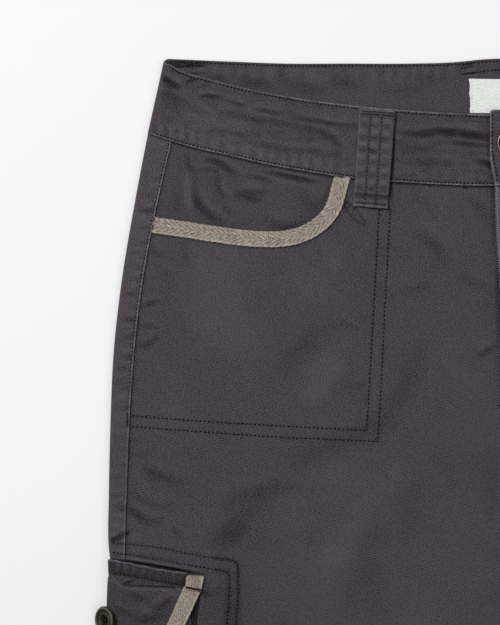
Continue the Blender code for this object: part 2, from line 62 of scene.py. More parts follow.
# Sizes that the shells share with the frame.
CROTCH, HEM, MIDDLE, BAND_DEPTH = 264.0, 722.0, 360.7, 46.0
WALL, BAND_WALL, POCKET_WALL, TAPE_WALL, LOOP_WALL = 1.2, 1.4, 1.2, 1.0, 1.6
GAP, LAY, FOLD = 0.3, 0.4, 2.3
LAP_RISE, LAP_FLAT, LAP_END, LAP_LOW, LAP_GONE = 1.8, 18.0, 60.0, 236.0, 290.0
UNDERLAP_BAND, BAND_STEP = -25.0, 3.0
BAND_FADE, CENTRE_FADE, SIDE_FADE, INSEAM_FADE, CROTCH_FADE = 26.0, 24.0, 14.0, 16.0, 30.0
POCKET_PROUD = LAY + POCKET_WALL
MOUTH_TOP, MOUTH_SLOPE, POCKET_BOTTOM, CASING = 310.4, 0.178, 475.0, 8.0
BUTTON_SIDES, BUTTON_STEPS = 60, 89
POCKET_PUFF = 1.6
BUTTON_DOWN, BUTTON_TILT, BUTTON_RADIUS = 347.8, 48.0, 9.0
WAIST_BUTTON_X, WAIST_BUTTON_DOWN, WAIST_BUTTON_RADIUS = 2.5, 52.5, 9.5
TAPE_WIDTH, CARGO_TAPE_WIDTH = 10.0, 10.5
FACING_IN, FACING_LOW = 86.0, 124.0
LOOP_ARCH, LOOP_TOP, LOOP_LONG, LOOP_WIDE, LOOP_SLANT = 2.0, 30.5, 61.0, 21.5, 1.8
LOOP_CHANNELS = (0.335, 0.645)  # where its stitched channels run, as shares of its width
LABEL_HALF, LABEL_TALL, LABEL_TOP, LABEL_LOW, LABEL_TILT = 22.9, 21.4, 12.4, 33.8, 0.015
BACK_TOP, FRONT_TOP = 46, 78  # where the grids of the back and front legs begin

# The finished cloth. Its walls are nearer to the real thickness than the frame's are.
TWILL, BAND_TWILL, LOOP_CLOTH, BELLOWS_CLOTH = 0.7, 1.2, 1.4, 0.35
TAPE_CLOTH, LABEL_CLOTH = 0.8, 0.5
BAND_PROUD = 0.45  # the turned-in edges of the band, above the leg
SEAM_PROUD = 0.5  # the pressed edge of the back leg, above the front leg
EDGE_ROUND = 0.7  # the radius of a folded edge
FAR = 50.0  # from a sewn row, where it no longer shows
STUB_LONG, STRAP_LONG = 9.5, 66.0  # the two walls of the casing's tape
PICK_PITCH, RIB_SLOPE = 0.0014, 1.7  # of the tape's weave
HOLE_RING, HOLE_ROUND, HOLE_DEEP = 1.75, 1.15, 1.25  # a button's sewing holes

# The studio, in metres.
FLOOR_HALF, FLOOR_LEVEL, LAMP_AWAY = 6.0, -0.0004, 2.6
LENS, SENSOR, PHOTO_SPAN = 200.0, 36.0, 0.3875  # the span is what the photo's long side takes in
CAMERA_ACROSS, CAMERA_UP, CLOTH_LEVEL = -0.1593, 0.2035, 0.0046


def table(columns, *rows):
    """A short table with named columns, one row for each section or fold."""
    return dict(zip(columns.split(), np.array(rows, float).T))


OUTLINE = table(
    "down out",
    (0, 212.7), (45, 222.4), (90, 231), (135, 238.6), (180, 243.8), (225, 245.9), (270, 246.9), (300, 247.1),
    (317, 245.7), (326, 246.2), (340, 246.7), (400, 247.4), (500, 247), (600, 243), (722, 237),
)
SIDE_SEAM = table(
    "down out",
    (52, 207.8), (98, 218.2), (149, 227.1), (199, 232.2), (257, 235), (310, 236.6), (400, 237), (600, 233),
    (722, 227),
)
INSEAM = table("down out", (264, 0.15), (290, 0.6), (351, 3.0), (450, 12.5), (600, 26.5), (722, 36.5))
FLY_EDGE = {
    LEFT: table("down out", (77, -7.8), (112, -6.6), (134, -4.9), (264, 0.15)),
    RIGHT: table("down out", (77, -12.0), (205, -12.0), (222, -6.0), (236, 1.3), (264, 0.15)),
}
FRONT_WAIST = table(
    "out down",
    (11, 34.5), (43, 33.1), (64, 31.7), (91, 29.3), (110, 27.1), (130, 24.3), (150, 20.6), (170, 16.3),
    (180, 13.6), (190, 11), (198, 8.8), (204, 6.4), (209.5, 2.9),
)
BACK_WAIST = table(
    "out down",
    (0, -0.6), (14, 0), (30, 1.6), (66, 2.7), (100, 2.6), (133, 2.7), (178, 1.1), (208, -0.2),
)
BAND_SEAM = table(
    "out down",
    (8, 78.7), (28, 78.5), (52, 77.3), (101, 73.4), (129, 69.1), (150, 65.2), (173, 59.8), (190, 56.1),
    (208, 51.1), (223, 46.1),
)
BACK_SEAM = table("out down", (0, 44.5), (110, 47.0), (223, 45.8))
BAND_END = table("row out", (0, -9.2), (0.015, -10.3), (0.04, -10.7), (0.65, -10.7), (1, -7.4))
POCKET_REACH = table("down reach", (310, 44.5), (335, 47.8), (400, 50.0), (475, 52.0))
SCOOP_LINE = table(  # the middle of the tape along the pocket mouth
    "step out down",
    (0, 221, 102.7), (1, 209, 104.5), (2, 197.5, 106.1), (3, 186, 108), (4, 174.5, 109.7), (5, 163, 111),
    (6, 151.5, 111.8), (7, 141, 111.7), (8, 131, 110.1), (9, 121.7, 106.3), (10, 114.2, 100.8),
    (11, 109.1, 94.7), (12, 106.1, 88), (13, 104.2, 80.8), (14, 101.6, 71.3),
)
LOOP_SIDES = table("down outer inner", (30.5, 91.5, 69.0), (91.5, 95.4, 73.6))


# The frame's own large folds: place, direction, half length, half width and height.
LEG_FOLDS = table(
    "out down turn length width height",
    (128, 188, 34, 46, 13, -1), (60, 197, 56, 40, 12, -0.9), (146, 270, 37, 66, 15, -1),
    (96, 236, 40, 60, 16, 0.7), (206, 258, 165, 26, 12, -0.7), (38, 128, 147, 42, 12, -0.8),
    (60, 330, 80, 90, 16, -0.8), (112, 380, 95, 80, 16, 0.8), (88, 505, 70, 85, 17, -1),
    (150, 590, 40, 75, 17, -0.9), (190, 640, 60, 60, 15, 0.7), (110, 660, 100, 55, 16, -0.7),
)
BAND_FOLDS = table(
    "out down turn length width height",
    (45, 46, 176, 34, 7, -0.6), (128, 44, 165, 42, 8, -0.6), (168, 40, 160, 36, 8, 0.5),
    (194, 30, 150, 20, 7, -0.6),
)
FACING_FOLDS = table(
    "out down turn length width height",
    (188, 83, 120, 24, 6, -0.6), (172, 80, 130, 26, 6, 0.6), (142, 78, 172, 26, 6, -0.6),
)
MIRRORED_FOLDS = {"out": 7.0, "down": 11.0, "height": 0.85}

# Creases pressed into the cloth: each runs from a through b to c, and has a lip on one side.
BAND_CREASES = table(
    "a_out a_down b_out b_down c_out c_down width height",
    (215, 11, 209.5, 14.4, 201.5, 18.8, 1.7, -2.1), (207.5, 16, 205, 17.4, 202.6, 18.2, 1.6, -0.9),
    (213, 19, 207, 25, 200, 31, 3.6, -1.5), (199.4, 15.4, 196, 13.7, 192.6, 12.4, 1.3, -1.2),
    (194, 18.6, 189, 17.6, 183, 14.6, 1.6, -0.6), (191, 24.9, 184.6, 23.1, 174, 25.9, 1.2, -1.5),
    (175, 26.2, 167, 28.2, 158, 30.4, 1.2, -1), (159, 30.8, 149, 32.9, 135, 35, 1.2, -1.2),
    (131, 37, 122, 38.2, 104, 41.6, 1.4, -1.3), (114, 39.6, 102, 41.4, 86, 41.8, 1.5, -1),
    (180, 33, 168, 34.4, 156, 37.8, 2.2, -0.6), (163, 36.4, 149, 38.8, 134, 41.4, 2.2, -0.8),
    (140, 40.8, 124, 43.6, 104, 46.6, 2.4, -0.5), (119, 44.4, 108.6, 49.4, 98, 58.6, 2, -1.1),
    (189, 44.6, 172, 45.8, 160, 50.8, 1.7, -0.5), (164, 50.8, 140, 55.6, 116, 58.2, 1.4, -0.6),
    (126, 57.4, 108, 59, 93.9, 60.6, 1.8, -0.6), (198, 35, 180, 40, 156, 46, 4.4, 0.4),
    (70, 44.6, 56, 46.8, 44, 45.8, 1.8, -1.2), (56, 46.8, 36.5, 45.4, 14, 48.8, 2.1, -1.7),
    (30, 47, 16, 48.4, 3, 50, 2.4, -1.5), (38, 51.6, 21.6, 53.3, 3, 55.2, 1.3, -1.4),
    (68, 54.6, 56, 55.2, 46, 56.8, 2.2, -0.5), (25, 58.2, 15, 59.4, 3, 60.6, 1.7, -0.6),
    (19, 63, 12, 65, 4, 66.6, 2, -1.8), (66, 64.4, 44, 64.8, 22, 66.4, 2.2, -0.5),
    (60, 38.4, 44, 39.6, 26, 39, 2.2, -0.3),
)
FACING_CREASES = table(
    "a_out a_down b_out b_down c_out c_down width height",
    (198, 56.6, 196.6, 66.6, 191.4, 71, 1.4, -1.1), (192.6, 69.6, 180.6, 69.6, 178, 77, 1.5, -0.9),
    (179.6, 73, 178, 82, 171.4, 88.4, 1.8, -1), (188, 62.8, 177.4, 65.4, 165.4, 75, 2.1, -1.8),
    (195, 79.6, 187.8, 94, 174, 103.4, 2.5, -1.5), (176, 90.4, 172, 95, 167.4, 98.6, 1.9, -0.7),
    (168.6, 82, 161, 85.8, 150, 88, 3.1, -1.2), (164, 81.6, 156, 82.8, 145, 83, 2.4, -1),
    (163, 73.4, 152.6, 74.2, 143, 77.4, 1.3, -1.1), (153, 69.8, 134, 73, 115, 77.6, 1.2, -1.9),
    (140, 72.8, 129, 74.2, 119, 76.8, 1.3, -0.9), (150, 73.2, 136, 76.6, 118, 80.4, 1.6, 0.6),
    (132, 84, 121, 90, 116, 100, 5.2, -0.8), (150, 98, 141, 104, 130, 104.6, 3, -0.7),
    (204.6, 82, 203.4, 90, 203, 98, 3, -0.6), (199.4, 68, 197, 80, 195.6, 94, 2.4, 0.9),
    (110.4, 78, 112, 86, 117, 92.6, 1.8, -0.7), (124, 99.6, 130, 103.6, 140, 105.6, 1.4, -0.6),
)
LEG_CREASES = table(
    "a_out a_down b_out b_down c_out c_down width height",
    # The broad valley from the fly to the cargo pocket, and the ones beside it.
    (48, 168, 66, 212, 92, 246, 7, -1.3), (84, 236, 134, 259, 184, 310, 9.5, -0.95),
    (80, 222, 104, 240, 138, 252, 6.5, -0.8), (150, 270, 165, 290, 180, 314, 5, -0.5),
    (101, 163, 126, 182, 149, 212, 7.5, -1.5), (97.3, 187.3, 110, 200, 124, 218, 6.5, 1.2),
    (59.4, 252, 87, 286, 118, 338, 10, 1.5), (181, 280.4, 152.4, 269.4, 112, 266.6, 4, -0.8),
    (184.4, 305.4, 176, 294, 164.2, 286.2, 5, -0.9),
    # Pulls at the fly, under the band and at the crotch.
    (60, 83, 50, 90, 40, 103, 3.2, -0.5), (59, 110, 47, 114, 33.6, 130.4, 3.4, -1),
    (30, 132.6, 22, 138.6, 11, 144.4, 3, -0.8), (24, 86, 15, 95, 6, 108, 3.4, -0.8),
    (66.3, 147, 56, 143, 45.7, 142.5, 3, -0.7), (18.4, 186, 12, 181.4, 4.6, 177.4, 2.2, -1.3),
    (24, 176, 20, 186, 22, 196, 4, -0.5), (8.4, 232, 8, 262, 10, 290, 4, -0.7),
    (76.3, 250.7, 84.2, 305, 83.6, 350, 6, -0.4), (100.8, 88.2, 94.4, 95.4, 86.6, 104, 1.8, -3.4),
    # Round the pocket bag and the side seam.
    (105, 161.6, 98, 165.6, 90, 166.4, 2, -0.6), (96, 204.4, 91, 202.6, 86.6, 200.4, 1.8, -0.6),
    (121, 116, 114, 126, 110, 139, 5, -0.5), (192, 122, 186, 131, 184, 142, 5, 0.5),
    (220.6, 115, 216.4, 121.6, 211, 118.6, 1.7, -0.9), (199.8, 112.6, 199, 121, 195.4, 129, 1.7, -0.7),
    (228, 154.6, 221.5, 152.2, 213, 149.8, 1.4, -1.3), (229, 164.8, 221.6, 165.2, 215, 168.6, 1.4, -0.9),
    (230.6, 177.6, 221.4, 176.6, 216.4, 169, 1.7, -1.1), (218, 132, 210, 136, 205, 143, 3, -0.5),
    (204, 241, 194, 244, 183.4, 250, 4.6, -0.3), (226.8, 253.8, 214.1, 259.2, 197.6, 264.6, 2.8, -1.1),
    (236.6, 276.6, 229, 282.8, 220, 287.6, 2.4, -1.6), (224, 286.8, 218.6, 287.4, 211.6, 286, 2, -0.8),
    (231.6, 268.4, 224, 275, 201, 279.4, 2.4, -0.7), (209, 291, 204.6, 294, 198.6, 299.4, 1.8, -0.7),
    (232, 251, 226, 262, 221, 270, 3.4, 0.6), (249, 299.6, 241, 296.8, 232.6, 293.2, 1.5, -3.4),
    (191, 330.6, 186, 331.8, 178.6, 331.8, 2.3, -0.9), (158, 290, 168, 296, 178, 305, 4.4, -0.8),
    (226.4, 84.4, 222, 85.4, 217.6, 86, 1.6, -1.2), (229, 93.2, 223.5, 94.2, 219, 94.8, 1.7, -1.5),
    (237.5, 145.4, 232.5, 146.6, 228, 147, 1.5, -1.4), (238, 160.8, 232, 162.2, 227, 163, 1.6, -1.4),
    (238.5, 171.8, 233, 173.2, 229, 172, 1.6, -1.1), (239, 183.8, 234, 184.8, 230.6, 185.2, 1.5, -1),
    (243.6, 277, 238.5, 277.9, 235, 278.2, 1.9, -1.2), (244, 292, 240, 292.6, 236.4, 292, 1.6, -0.8),
    # The lip of the cargo pocket's mouth, and the dark gap under it.
    (243, 310.8, 216, 314.8, 187, 320.2, 0.95, -4.4), (239, 308.4, 218, 311.8, 200, 315.2, 1.1, 1.4),
    # Lower leg.
    (150, 372, 128, 382, 120, 404, 6, -0.8), (30, 380, 52, 386, 80, 388, 4.4, -0.8),
    (150, 470, 136, 488, 120, 494, 5, -0.9), (60, 450, 84, 462, 104, 486, 5, -0.8),
    (226, 520, 204, 530, 188, 548, 3.6, -0.9), (44, 560, 66, 556, 92, 566, 4, -0.8),
    (120, 590, 134, 612, 136, 640, 5.5, -0.8), (216, 610, 196, 616, 172, 634, 4, -0.8),
    (58, 640, 76, 652, 84, 676, 4.2, -0.7), (206, 668, 190, 676, 180, 694, 4, -0.7),
)
POCKET_CREASES = table(
    "a_out a_down b_out b_down c_out c_down width height",
    (221, 341.6, 214.4, 339.4, 206.6, 334.6, 2.1, -1), (244, 340.4, 237, 342.8, 229, 345, 1.7, -0.9),
    (232, 347.2, 221, 347, 209, 343.4, 2.3, -0.9), (235, 331, 230, 333.2, 224, 336, 2.2, -0.6),
    (214, 330.6, 208, 331.4, 202, 332.6, 1.8, 0.6), (232, 339, 225, 340.4, 218, 343.4, 1.8, 0.4),
    (238.4, 325.4, 234.6, 324.4, 230.6, 322.2, 0.8, -1.5), (240, 380, 224, 388, 214, 402, 4, -0.8),
    (206, 410, 216, 420, 222, 440, 4, -0.7), (236, 430, 224, 446, 208, 452, 4, -0.7),
)
# Broad areas of the front painted paler and darker as painted broad light and shade: a place, half sizes and
# an amount.
BROAD_SHADING = table(
    "out down wide tall fade",
    (160, 160, 70, 55, 0.12), (200, 262, 50, 30, -0.08), (190, 335, 45, 34, -0.12), (60, 270, 46, 60, 0.05),
    (30, 55, 60, 18, -0.04), (165, 38, 40, 16, -0.06), (172, 345, 12, 26, -0.26), (166, 288, 17, 20, -0.1),
    (108, 240, 30, 12, -0.1), (138, 246, 24, 28, -0.05), (152, 302, 16, 14, -0.08), (164, 303, 9, 8, -0.14),
    (46, 345, 26, 22, -0.05), (14, 84, 8, 14, -0.14), (12, 150, 6, 16, -0.1), (196, 244, 12, 12, 0.06),
    (236, 205, 8, 60, -0.04), (241, 303, 6, 7, -0.16),
)
INSIDE_CREASES = table(  # on the inside of the back band
    "a_out a_down b_out b_down c_out c_down width height",
    (168, 13, 156, 15.4, 143, 16.4, 3.4, -1.2), (138, 14, 124, 18.4, 108, 21.6, 4.2, -1.2),
    (183, 11.4, 178, 11.6, 171, 12.8, 2, -1.2), (201, 9, 194, 9.4, 185.6, 8.4, 1, -1.6),
    (84, 18, 66, 20, 48, 18, 4, -0.6), (60, 11, 48, 13, 36, 12, 2.6, -0.5),
    (112, 13, 100, 15, 88, 20, 4, -0.8),
)
LOOP_CREASES = table(
    "a_out a_down b_out b_down c_out c_down width height",
    (86.6, 54.2, 83.4, 57.4, 79.2, 58.6, 1.1, -0.8), (79, 59, 75.6, 62.4, 72.6, 62.9, 1.1, -0.8),
    (92, 55, 88.6, 55.6, 86, 57, 1.2, -0.4), (84, 48, 79, 48.6, 75, 50.6, 1.2, -0.4),
)


def ease(t):
    """0 below 0 and 1 above 1, with a smooth step between."""
    t = np.clip(t, 0.0, 1.0)
    return t * t * (3 - 2 * t)


def bell(t):
    """1 at 0, falling to nothing by about 2 on both sides."""
    return np.exp(-(t**2))


def read(rows, key, at, value):
    """A column of a table at places in its key column, on a smooth curve through the rows."""
    keys, values = rows[key], rows[value]
    slopes = np.gradient(values, keys)
    i = np.clip(np.searchsorted(keys, at) - 1, 0, len(keys) - 2)
    step = keys[i + 1] - keys[i]
    t = np.clip((at - keys[i]) / step, 0.0, 1.0)
    bend = t * (1 - t) * ((1 - t) * slopes[i] - t * slopes[i + 1]) * step
    return values[i] + (values[i + 1] - values[i]) * ease(t) + bend


def half_width(down):
    """How far out the side fold is."""
    return read(OUTLINE, "down", down, "out")


def side_seam(down):
    """How far out the side seam is, on the front."""
    return read(SIDE_SEAM, "down", down, "out")


def front_waist(side, out):
    """The top edge of the front band. The left one stands higher where it laps."""
    step = BAND_STEP * (1 - ease((out - 5) / 40)) if side == LEFT else 0.0
    return read(FRONT_WAIST, "out", out, "down") - step


def back_waist(out):
    """The top edge of the band at the back."""
    return read(BACK_WAIST, "out", out, "down")


def band_seam(out):
    """The seam under the front band."""
    return read(BAND_SEAM, "out", out, "down")


def wrapped_seam(stage, out):
    """The band's lower edge, eased from its back line to its front line round the fold."""
    turn = ease(stage - 1)
    return (1 - turn) * read(BACK_SEAM, "out", out, "down") + turn * band_seam(out)


def inner_edge(side, down):
    """The fly's edge and centre seam down to the crotch, then the inseam."""
    fly = np.interp(down, FLY_EDGE[side]["down"], FLY_EDGE[side]["out"])
    return np.where(down < CROTCH, fly, read(INSEAM, "down", down, "out"))


def cargo_area(out, down):
    """1 where the cargo pocket lies, easing to 0 around it."""
    along = ease((down - 258) / 45) * (1 - ease((down - 483) / 50))
    return along * ease((out - 126) / 58)


def lift(out, down):
    """How far the leg is lifted by the back of the cargo pocket that lies under it."""
    return POCKET_PROUD * cargo_area(out, down)


def folds(rows, side, out, down):
    """Soft ridges and troughs: a bell across each fold, times a squared cosine along it."""
    mirrored = side == LEFT
    height = 0.0
    for i in range(len(rows["out"])):
        over = out - rows["out"][i] - mirrored * MIRRORED_FOLDS["out"]
        below = down - rows["down"][i] - mirrored * MIRRORED_FOLDS["down"]
        turn = math.radians(rows["turn"][i])
        along = (over * math.cos(turn) + below * math.sin(turn)) / rows["length"][i]
        across = (below * math.cos(turn) - over * math.sin(turn)) / rows["width"][i]
        shape = bell(across) * np.cos(np.clip(along, -1, 1) * math.pi / 2) ** 2
        height = height + rows["height"][i] * shape * (MIRRORED_FOLDS["height"] if mirrored else 1.0)
    return height


def front_level(side, out, down):
    """The frame's top face: two cloths, their large folds, the lap of the fly and the inseam's drop."""
    below_band = ease((down - band_seam(out)) / BAND_FADE)
    from_fold = ease((half_width(down) - 2 * FOLD - out) / SIDE_FADE)
    clear = ease((out - FOLD) / CENTRE_FADE) * from_fold * (1 - cargo_area(out, down))
    from_inseam = np.clip((out - inner_edge(side, down)) / INSEAM_FADE, 0, 1)
    leg = ease((down - CROTCH) / CROTCH_FADE + 0.2)
    on_leg = folds(LEG_FOLDS, side, out, down) * below_band * (1 - leg * (1 - ease(from_inseam)))
    on_band = folds(BAND_FOLDS, side, out, down) * (1 - below_band)
    level = lift(out, down) + 2 * FOLD + clear * (on_leg + on_band)
    if side == LEFT:
        lap = 1 - ease((out - LAP_FLAT) / (LAP_END - LAP_FLAT))
        level = level + LAP_RISE * lap * (1 - ease((down - LAP_LOW) / (LAP_GONE - LAP_LOW)))
    drop = (2 * FOLD - 2 * WALL - LAY) * leg * (1 - from_inseam) ** 2
    return level - drop


def round_fold(side, stage, reach_back, reach_front, down, proud=0.0):
    """Stage 0 to 1 runs under the leg, 1 to 2 round a half circle at the fold, 2 to 3 over the leg."""
    centre = half_width(down) - FOLD
    radius = FOLD + proud
    angle = np.clip(stage - 1, 0, 1) * math.pi
    under, over = np.clip(1 - stage, 0, 1), np.clip(stage - 2, 0, 1)
    out = centre - under * reach_back - over * reach_front + radius * np.sin(angle)
    turning = lift(centre, down) + FOLD - radius * np.cos(angle)
    level = np.where(stage < 1, lift(out, down) - proud, turning)
    level = np.where(stage > 2, front_level(side, out, down) + proud, level)
    return out, level


def rounded(start, corner, end, radius, count=16):
    """Points along a straight line, an arc that rounds the corner, and another straight line."""
    start, corner, end = (np.array(p, float) for p in (start, corner, end))
    back, ahead = start - corner, end - corner
    back, ahead = back / np.linalg.norm(back), ahead / np.linalg.norm(ahead)
    half = math.acos(back @ ahead) / 2
    centre = corner + (back + ahead) / np.linalg.norm(back + ahead) * radius / math.sin(half)
    first = corner + back * radius / math.tan(half) - centre
    last = corner + ahead * radius / math.tan(half) - centre
    sweep, t = math.pi - 2 * half, np.linspace(0, 1, count)[:, None]
    arc = (np.sin((1 - t) * sweep) * first + np.sin(t * sweep) * last) / math.sin(sweep)
    return np.vstack([start, centre + arc, end])


SCOOP_STEPS = np.linspace(0, 14, 141)
SCOOP = np.stack([read(SCOOP_LINE, "step", SCOOP_STEPS, key) for key in ("out", "down")], axis=1)
SCOOP_LENGTH = float(np.linalg.norm(np.diff(SCOOP, axis=0), axis=1).sum())


def scoop(t, aside=0.0):
    """A place on the pocket mouth's tape, `aside` from its middle towards the opening."""
    place = np.concatenate([[0], np.cumsum(np.linalg.norm(np.diff(SCOOP, axis=0), axis=1))])
    out, down = (np.interp(t * place[-1], place, SCOOP[:, axis]) for axis in (0, 1))
    ahead, behind = np.minimum(t + 0.01, 1.0) * place[-1], np.maximum(t - 0.01, 0.0) * place[-1]
    run = np.array([np.interp(ahead, place, a) - np.interp(behind, place, a) for a in SCOOP.T])
    run = run / np.linalg.norm(run, axis=0)
    return out - run[1] * aside, down + run[0] * aside


def above_mouth(out, down):
    """How far a place is from the pocket mouth's edge, positive in the opening."""
    edge = np.array(scoop(np.linspace(0, 1, 160), TAPE_WIDTH / 2))
    middle = np.array(scoop(np.linspace(0, 1, 160)))
    place = np.stack([out.ravel(), down.ravel()])
    nearest = np.argmin(((place[:, :, None] - edge[:, None, :]) ** 2).sum(axis=0), axis=1)
    towards = (edge - middle)[:, nearest] / (TAPE_WIDTH / 2)
    return ((place - edge[:, nearest]) * towards).sum(axis=0).reshape(out.shape)


def beside(path, out, down):
    """How far each place lies from a line of (out, down) points, positive on its right-hand side,
    and its share of the way along the line."""
    path = np.asarray(path, float)
    run = np.diff(path, axis=0)
    offset = np.stack([out, down], axis=1)[:, None] - path[:-1]
    along = np.clip((offset * run).sum(axis=2) / (run**2).sum(axis=1), 0, 1)
    gap = offset - along[..., None] * run
    pick = np.arange(len(out)), (gap**2).sum(axis=2).argmin(axis=1)
    turn = np.sign(run[pick[1], 0] * offset[pick][:, 1] - run[pick[1], 1] * offset[pick][:, 0])
    return turn * np.linalg.norm(gap[pick], axis=1), (pick[1] + along[pick]) / len(run)


def creases(rows, side, out, down, sharp=None):
    """A trough or ridge along each row's curve: a bell across it less a smaller bell beside it, as
    cloth lifts next to a fold, tapered by a sine from end to end. With `sharp`, wider ones count less."""
    out, down = np.broadcast_arrays(np.asarray(out, float), np.asarray(down, float))
    level = np.zeros(out.shape)
    move = [MIRRORED_FOLDS["out"], MIRRORED_FOLDS["down"]] if side == LEFT else [0, 0]
    for row in np.stack(list(rows.values()), axis=1):
        a, b, c = (row[i : i + 2] + move for i in (0, 2, 4))
        width, height = row[6], row[7] * (min(1.0, sharp / row[6]) if sharp else 1.0)
        t = np.linspace(0, 1, 13)[:, None]
        path = (1 - t) ** 2 * a + 2 * t * (1 - t) * (2 * b - (a + c) / 2) + t**2 * c
        low, high = path.min(axis=0) - 4 * width, path.max(axis=0) + 4 * width
        near = (out > low[0]) & (out < high[0]) & (down > low[1]) & (down < high[1])
        if near.any():
            across, along = beside(path, out[near], down[near])
            across = across / width
            ends = np.sin(math.pi * along) ** 0.8
            level[near] += height * ends * (bell(across) - 0.4 * bell((across - 1.9) / 1.2))
    return level


def row_gap(rows, out, down):
    """Each place's signed distance from the nearest of some sewn rows, in mm."""
    nearest = np.full(out.size, FAR)
    for row in rows:
        gap, _ = beside(row, out.ravel(), down.ravel())
        nearest = np.where(np.abs(gap) < np.abs(nearest), gap, nearest)
    return nearest.reshape(out.shape)


def drift(out, down, size, seed):
    """Smooth unevenness from -1 to 1: seeded random values on a lattice, eased between its points."""
    values = np.random.default_rng(seed).uniform(-1, 1, (97, 97))
    u, v = out / size + 31.3, down / size + 17.7
    i, j = np.floor(u).astype(int), np.floor(v).astype(int)
    a, b = ease(u - i), ease(v - j)
    corner = [values[(i + di) % 97, (j + dj) % 97] for di in (0, 1) for dj in (0, 1)]
    return (corner[0] * (1 - b) + corner[1] * b) * (1 - a) + (corner[2] * (1 - b) + corner[3] * b) * a


def puckers(along, pitch, seed):
    """Waves drawn up by a seam: a cosine whose pitch and height drift along it."""
    phase = along / pitch + 0.35 * np.sin(along / 21 + seed) + 0.2 * np.sin(along / 9.1 + 2 * seed)
    return np.cos(2 * math.pi * phase) * (0.7 + 0.3 * np.sin(along / 14.3 + 3 * seed))


def relief(side, out, down, sharp=None):
    """What a hand feels on the front: creases, puckers along the seams and a slight unevenness."""
    above = band_seam(out) - down
    band = ease(above / 2 + 0.5)
    drawn_up = 0.35 + 0.65 * ease((out - 88) / 16)
    level = 1.15 * band * creases(BAND_CREASES, side, out, down, sharp)
    level = level + (1 - band) * creases(LEG_CREASES, side, out, down, sharp)
    level = level + 0.3 * drawn_up * puckers(out, 7.4, 1.7) * bell((above - 5.5) / 3.6) * ease(above / 2.5)
    level = level + 0.22 * drawn_up * puckers(out, 10.3, 0.6) * bell((above + 5) / 6) * ease(-above / 3)
    level = level - 0.35 * bell(above / 1.5) * (1 - band)
    off_seam = out - side_seam(down)
    strip = bell((off_seam - 5) / 5.5) * ease(-above / 4) * ease(off_seam + 1)
    ruck = puckers(down + 0.25 * out, 9.0, 2.6) + 0.7 * puckers(down - 0.3 * out, 5.6, 4.1)
    level = level + 0.45 * ruck * strip
    beside_seam = 0.2 * puckers(down, 8.3, 0.9) * bell((off_seam + 4) / 5)
    level = level + beside_seam * ease(-off_seam) * ease(-above / 9)
    calm = 1 - 0.7 * cargo_area(out, down)
    level = level + calm * (0.12 * drift(out, down, 9, 5) + 0.25 * drift(out, down, 31, 8))
    return level * ease((half_width(down) - out) / 4)


def top(side, out, down):
    """The level of the front's finished face."""
    return front_level(side, out, down) + relief(side, out, down)


def edge_drop(distance, radius=EDGE_ROUND):
    """How far a folded edge has turned down: a quarter circle from the flat to the edge."""
    t = np.clip(1 - distance / radius, 0, 1)
    return -radius * (1 - np.sqrt(1 - t**2)) * 0.98


def spread(length, coarse, start=True, end=True, first=0.1, knots=()):
    """Fractions along a length. Steps grow from `first` at a folded edge, and from half a millimetre
    at each knot (place, half width), up to the coarse step."""
    at = np.linspace(0, length, int(length * 12) + 2)
    step = np.full_like(at, coarse)
    if start:
        step = np.minimum(step, first + 0.42 * at)
    if end:
        step = np.minimum(step, first + 0.42 * (length - at))
    for place, half in knots:
        step = np.minimum(step, 0.5 + 0.3 * np.maximum(np.abs(at - place) - half, 0))
    count = np.concatenate([[0], np.cumsum(np.diff(at) * (1 / step[1:] + 1 / step[:-1]) / 2)])
    return np.interp(np.linspace(0, count[-1], max(2, int(round(count[-1])) + 1)), count, at) / length


def wrapped(under, turn, over):
    """Stages of a wrapped piece: fractions under and over, and even steps round the fold."""
    return np.concatenate([under, 1 + np.arange(turn) / turn, 2 + over])


def rows_down(first, last, fine=1.8, coarse=5.2, change=362.0, knots=()):
    """Places down a leg: fine steps where the cloth is seen close, and coarser ones below."""
    near = [(place - first, half) for place, half in knots]
    upper = first + (change - first) * spread(change - first, fine, end=False, knots=near)
    lower = change + (last - change) * spread(last - change, coarse, start=False)
    return np.concatenate([upper, lower[1:]])


def wall(side, base, bulge, edge, thick, weave, fade, rows=None, lining=0.0):
    """A closed wall of cloth from a grid of points, worked out whole.

    outer = base + normal * (bulge + edge), and inner = base + normal * (bulge + lining - thick),
    where the normal is the cross product of the grid's two directions. A rim of quads joins them.
    weave is each point's place on the flat cloth, and rows its distance from the sewn rows, in mm.
    """
    u, v = np.gradient(base, axis=1), np.gradient(base, axis=0)
    normal = side * np.cross(u, v)
    normal /= np.linalg.norm(normal, axis=2, keepdims=True)
    outer = base + normal * (bulge + edge)[..., None]
    inner = base + normal * (bulge + lining - thick)[..., None]
    lines, columns = base.shape[:2]
    number = np.arange(lines * columns).reshape(lines, columns)
    quads = np.stack([number[:-1, :-1], number[:-1, 1:], number[1:, 1:], number[1:, :-1]], axis=-1)
    quads = quads.reshape(-1, 4)
    rim = np.concatenate([number[0], number[1:, -1], number[-1, -2::-1], number[-2:0:-1, 0]])
    ahead, back = np.roll(rim, -1), lines * columns
    rim = np.stack([rim, rim + back, ahead + back, ahead], axis=1)
    faces = np.concatenate([quads, quads[:, ::-1] + back, rim])
    rows = (np.full(fade.shape, FAR),) * 2 if rows is None else rows
    return {
        "points": np.concatenate([outer.reshape(-1, 3), inner.reshape(-1, 3)]),
        "faces": faces[:, ::-1] if side == RIGHT else faces,
        "weave": np.tile(np.stack(np.broadcast_arrays(*weave), axis=-1).reshape(-1, 2), (2, 1)),
        # each point's wear, and its painted light and shade
        "fade": np.tile(fade.ravel(), 2),
        "row_a": np.tile(rows[0].ravel(), 2),
        "row_b": np.tile(rows[1].ravel(), 2),
    }


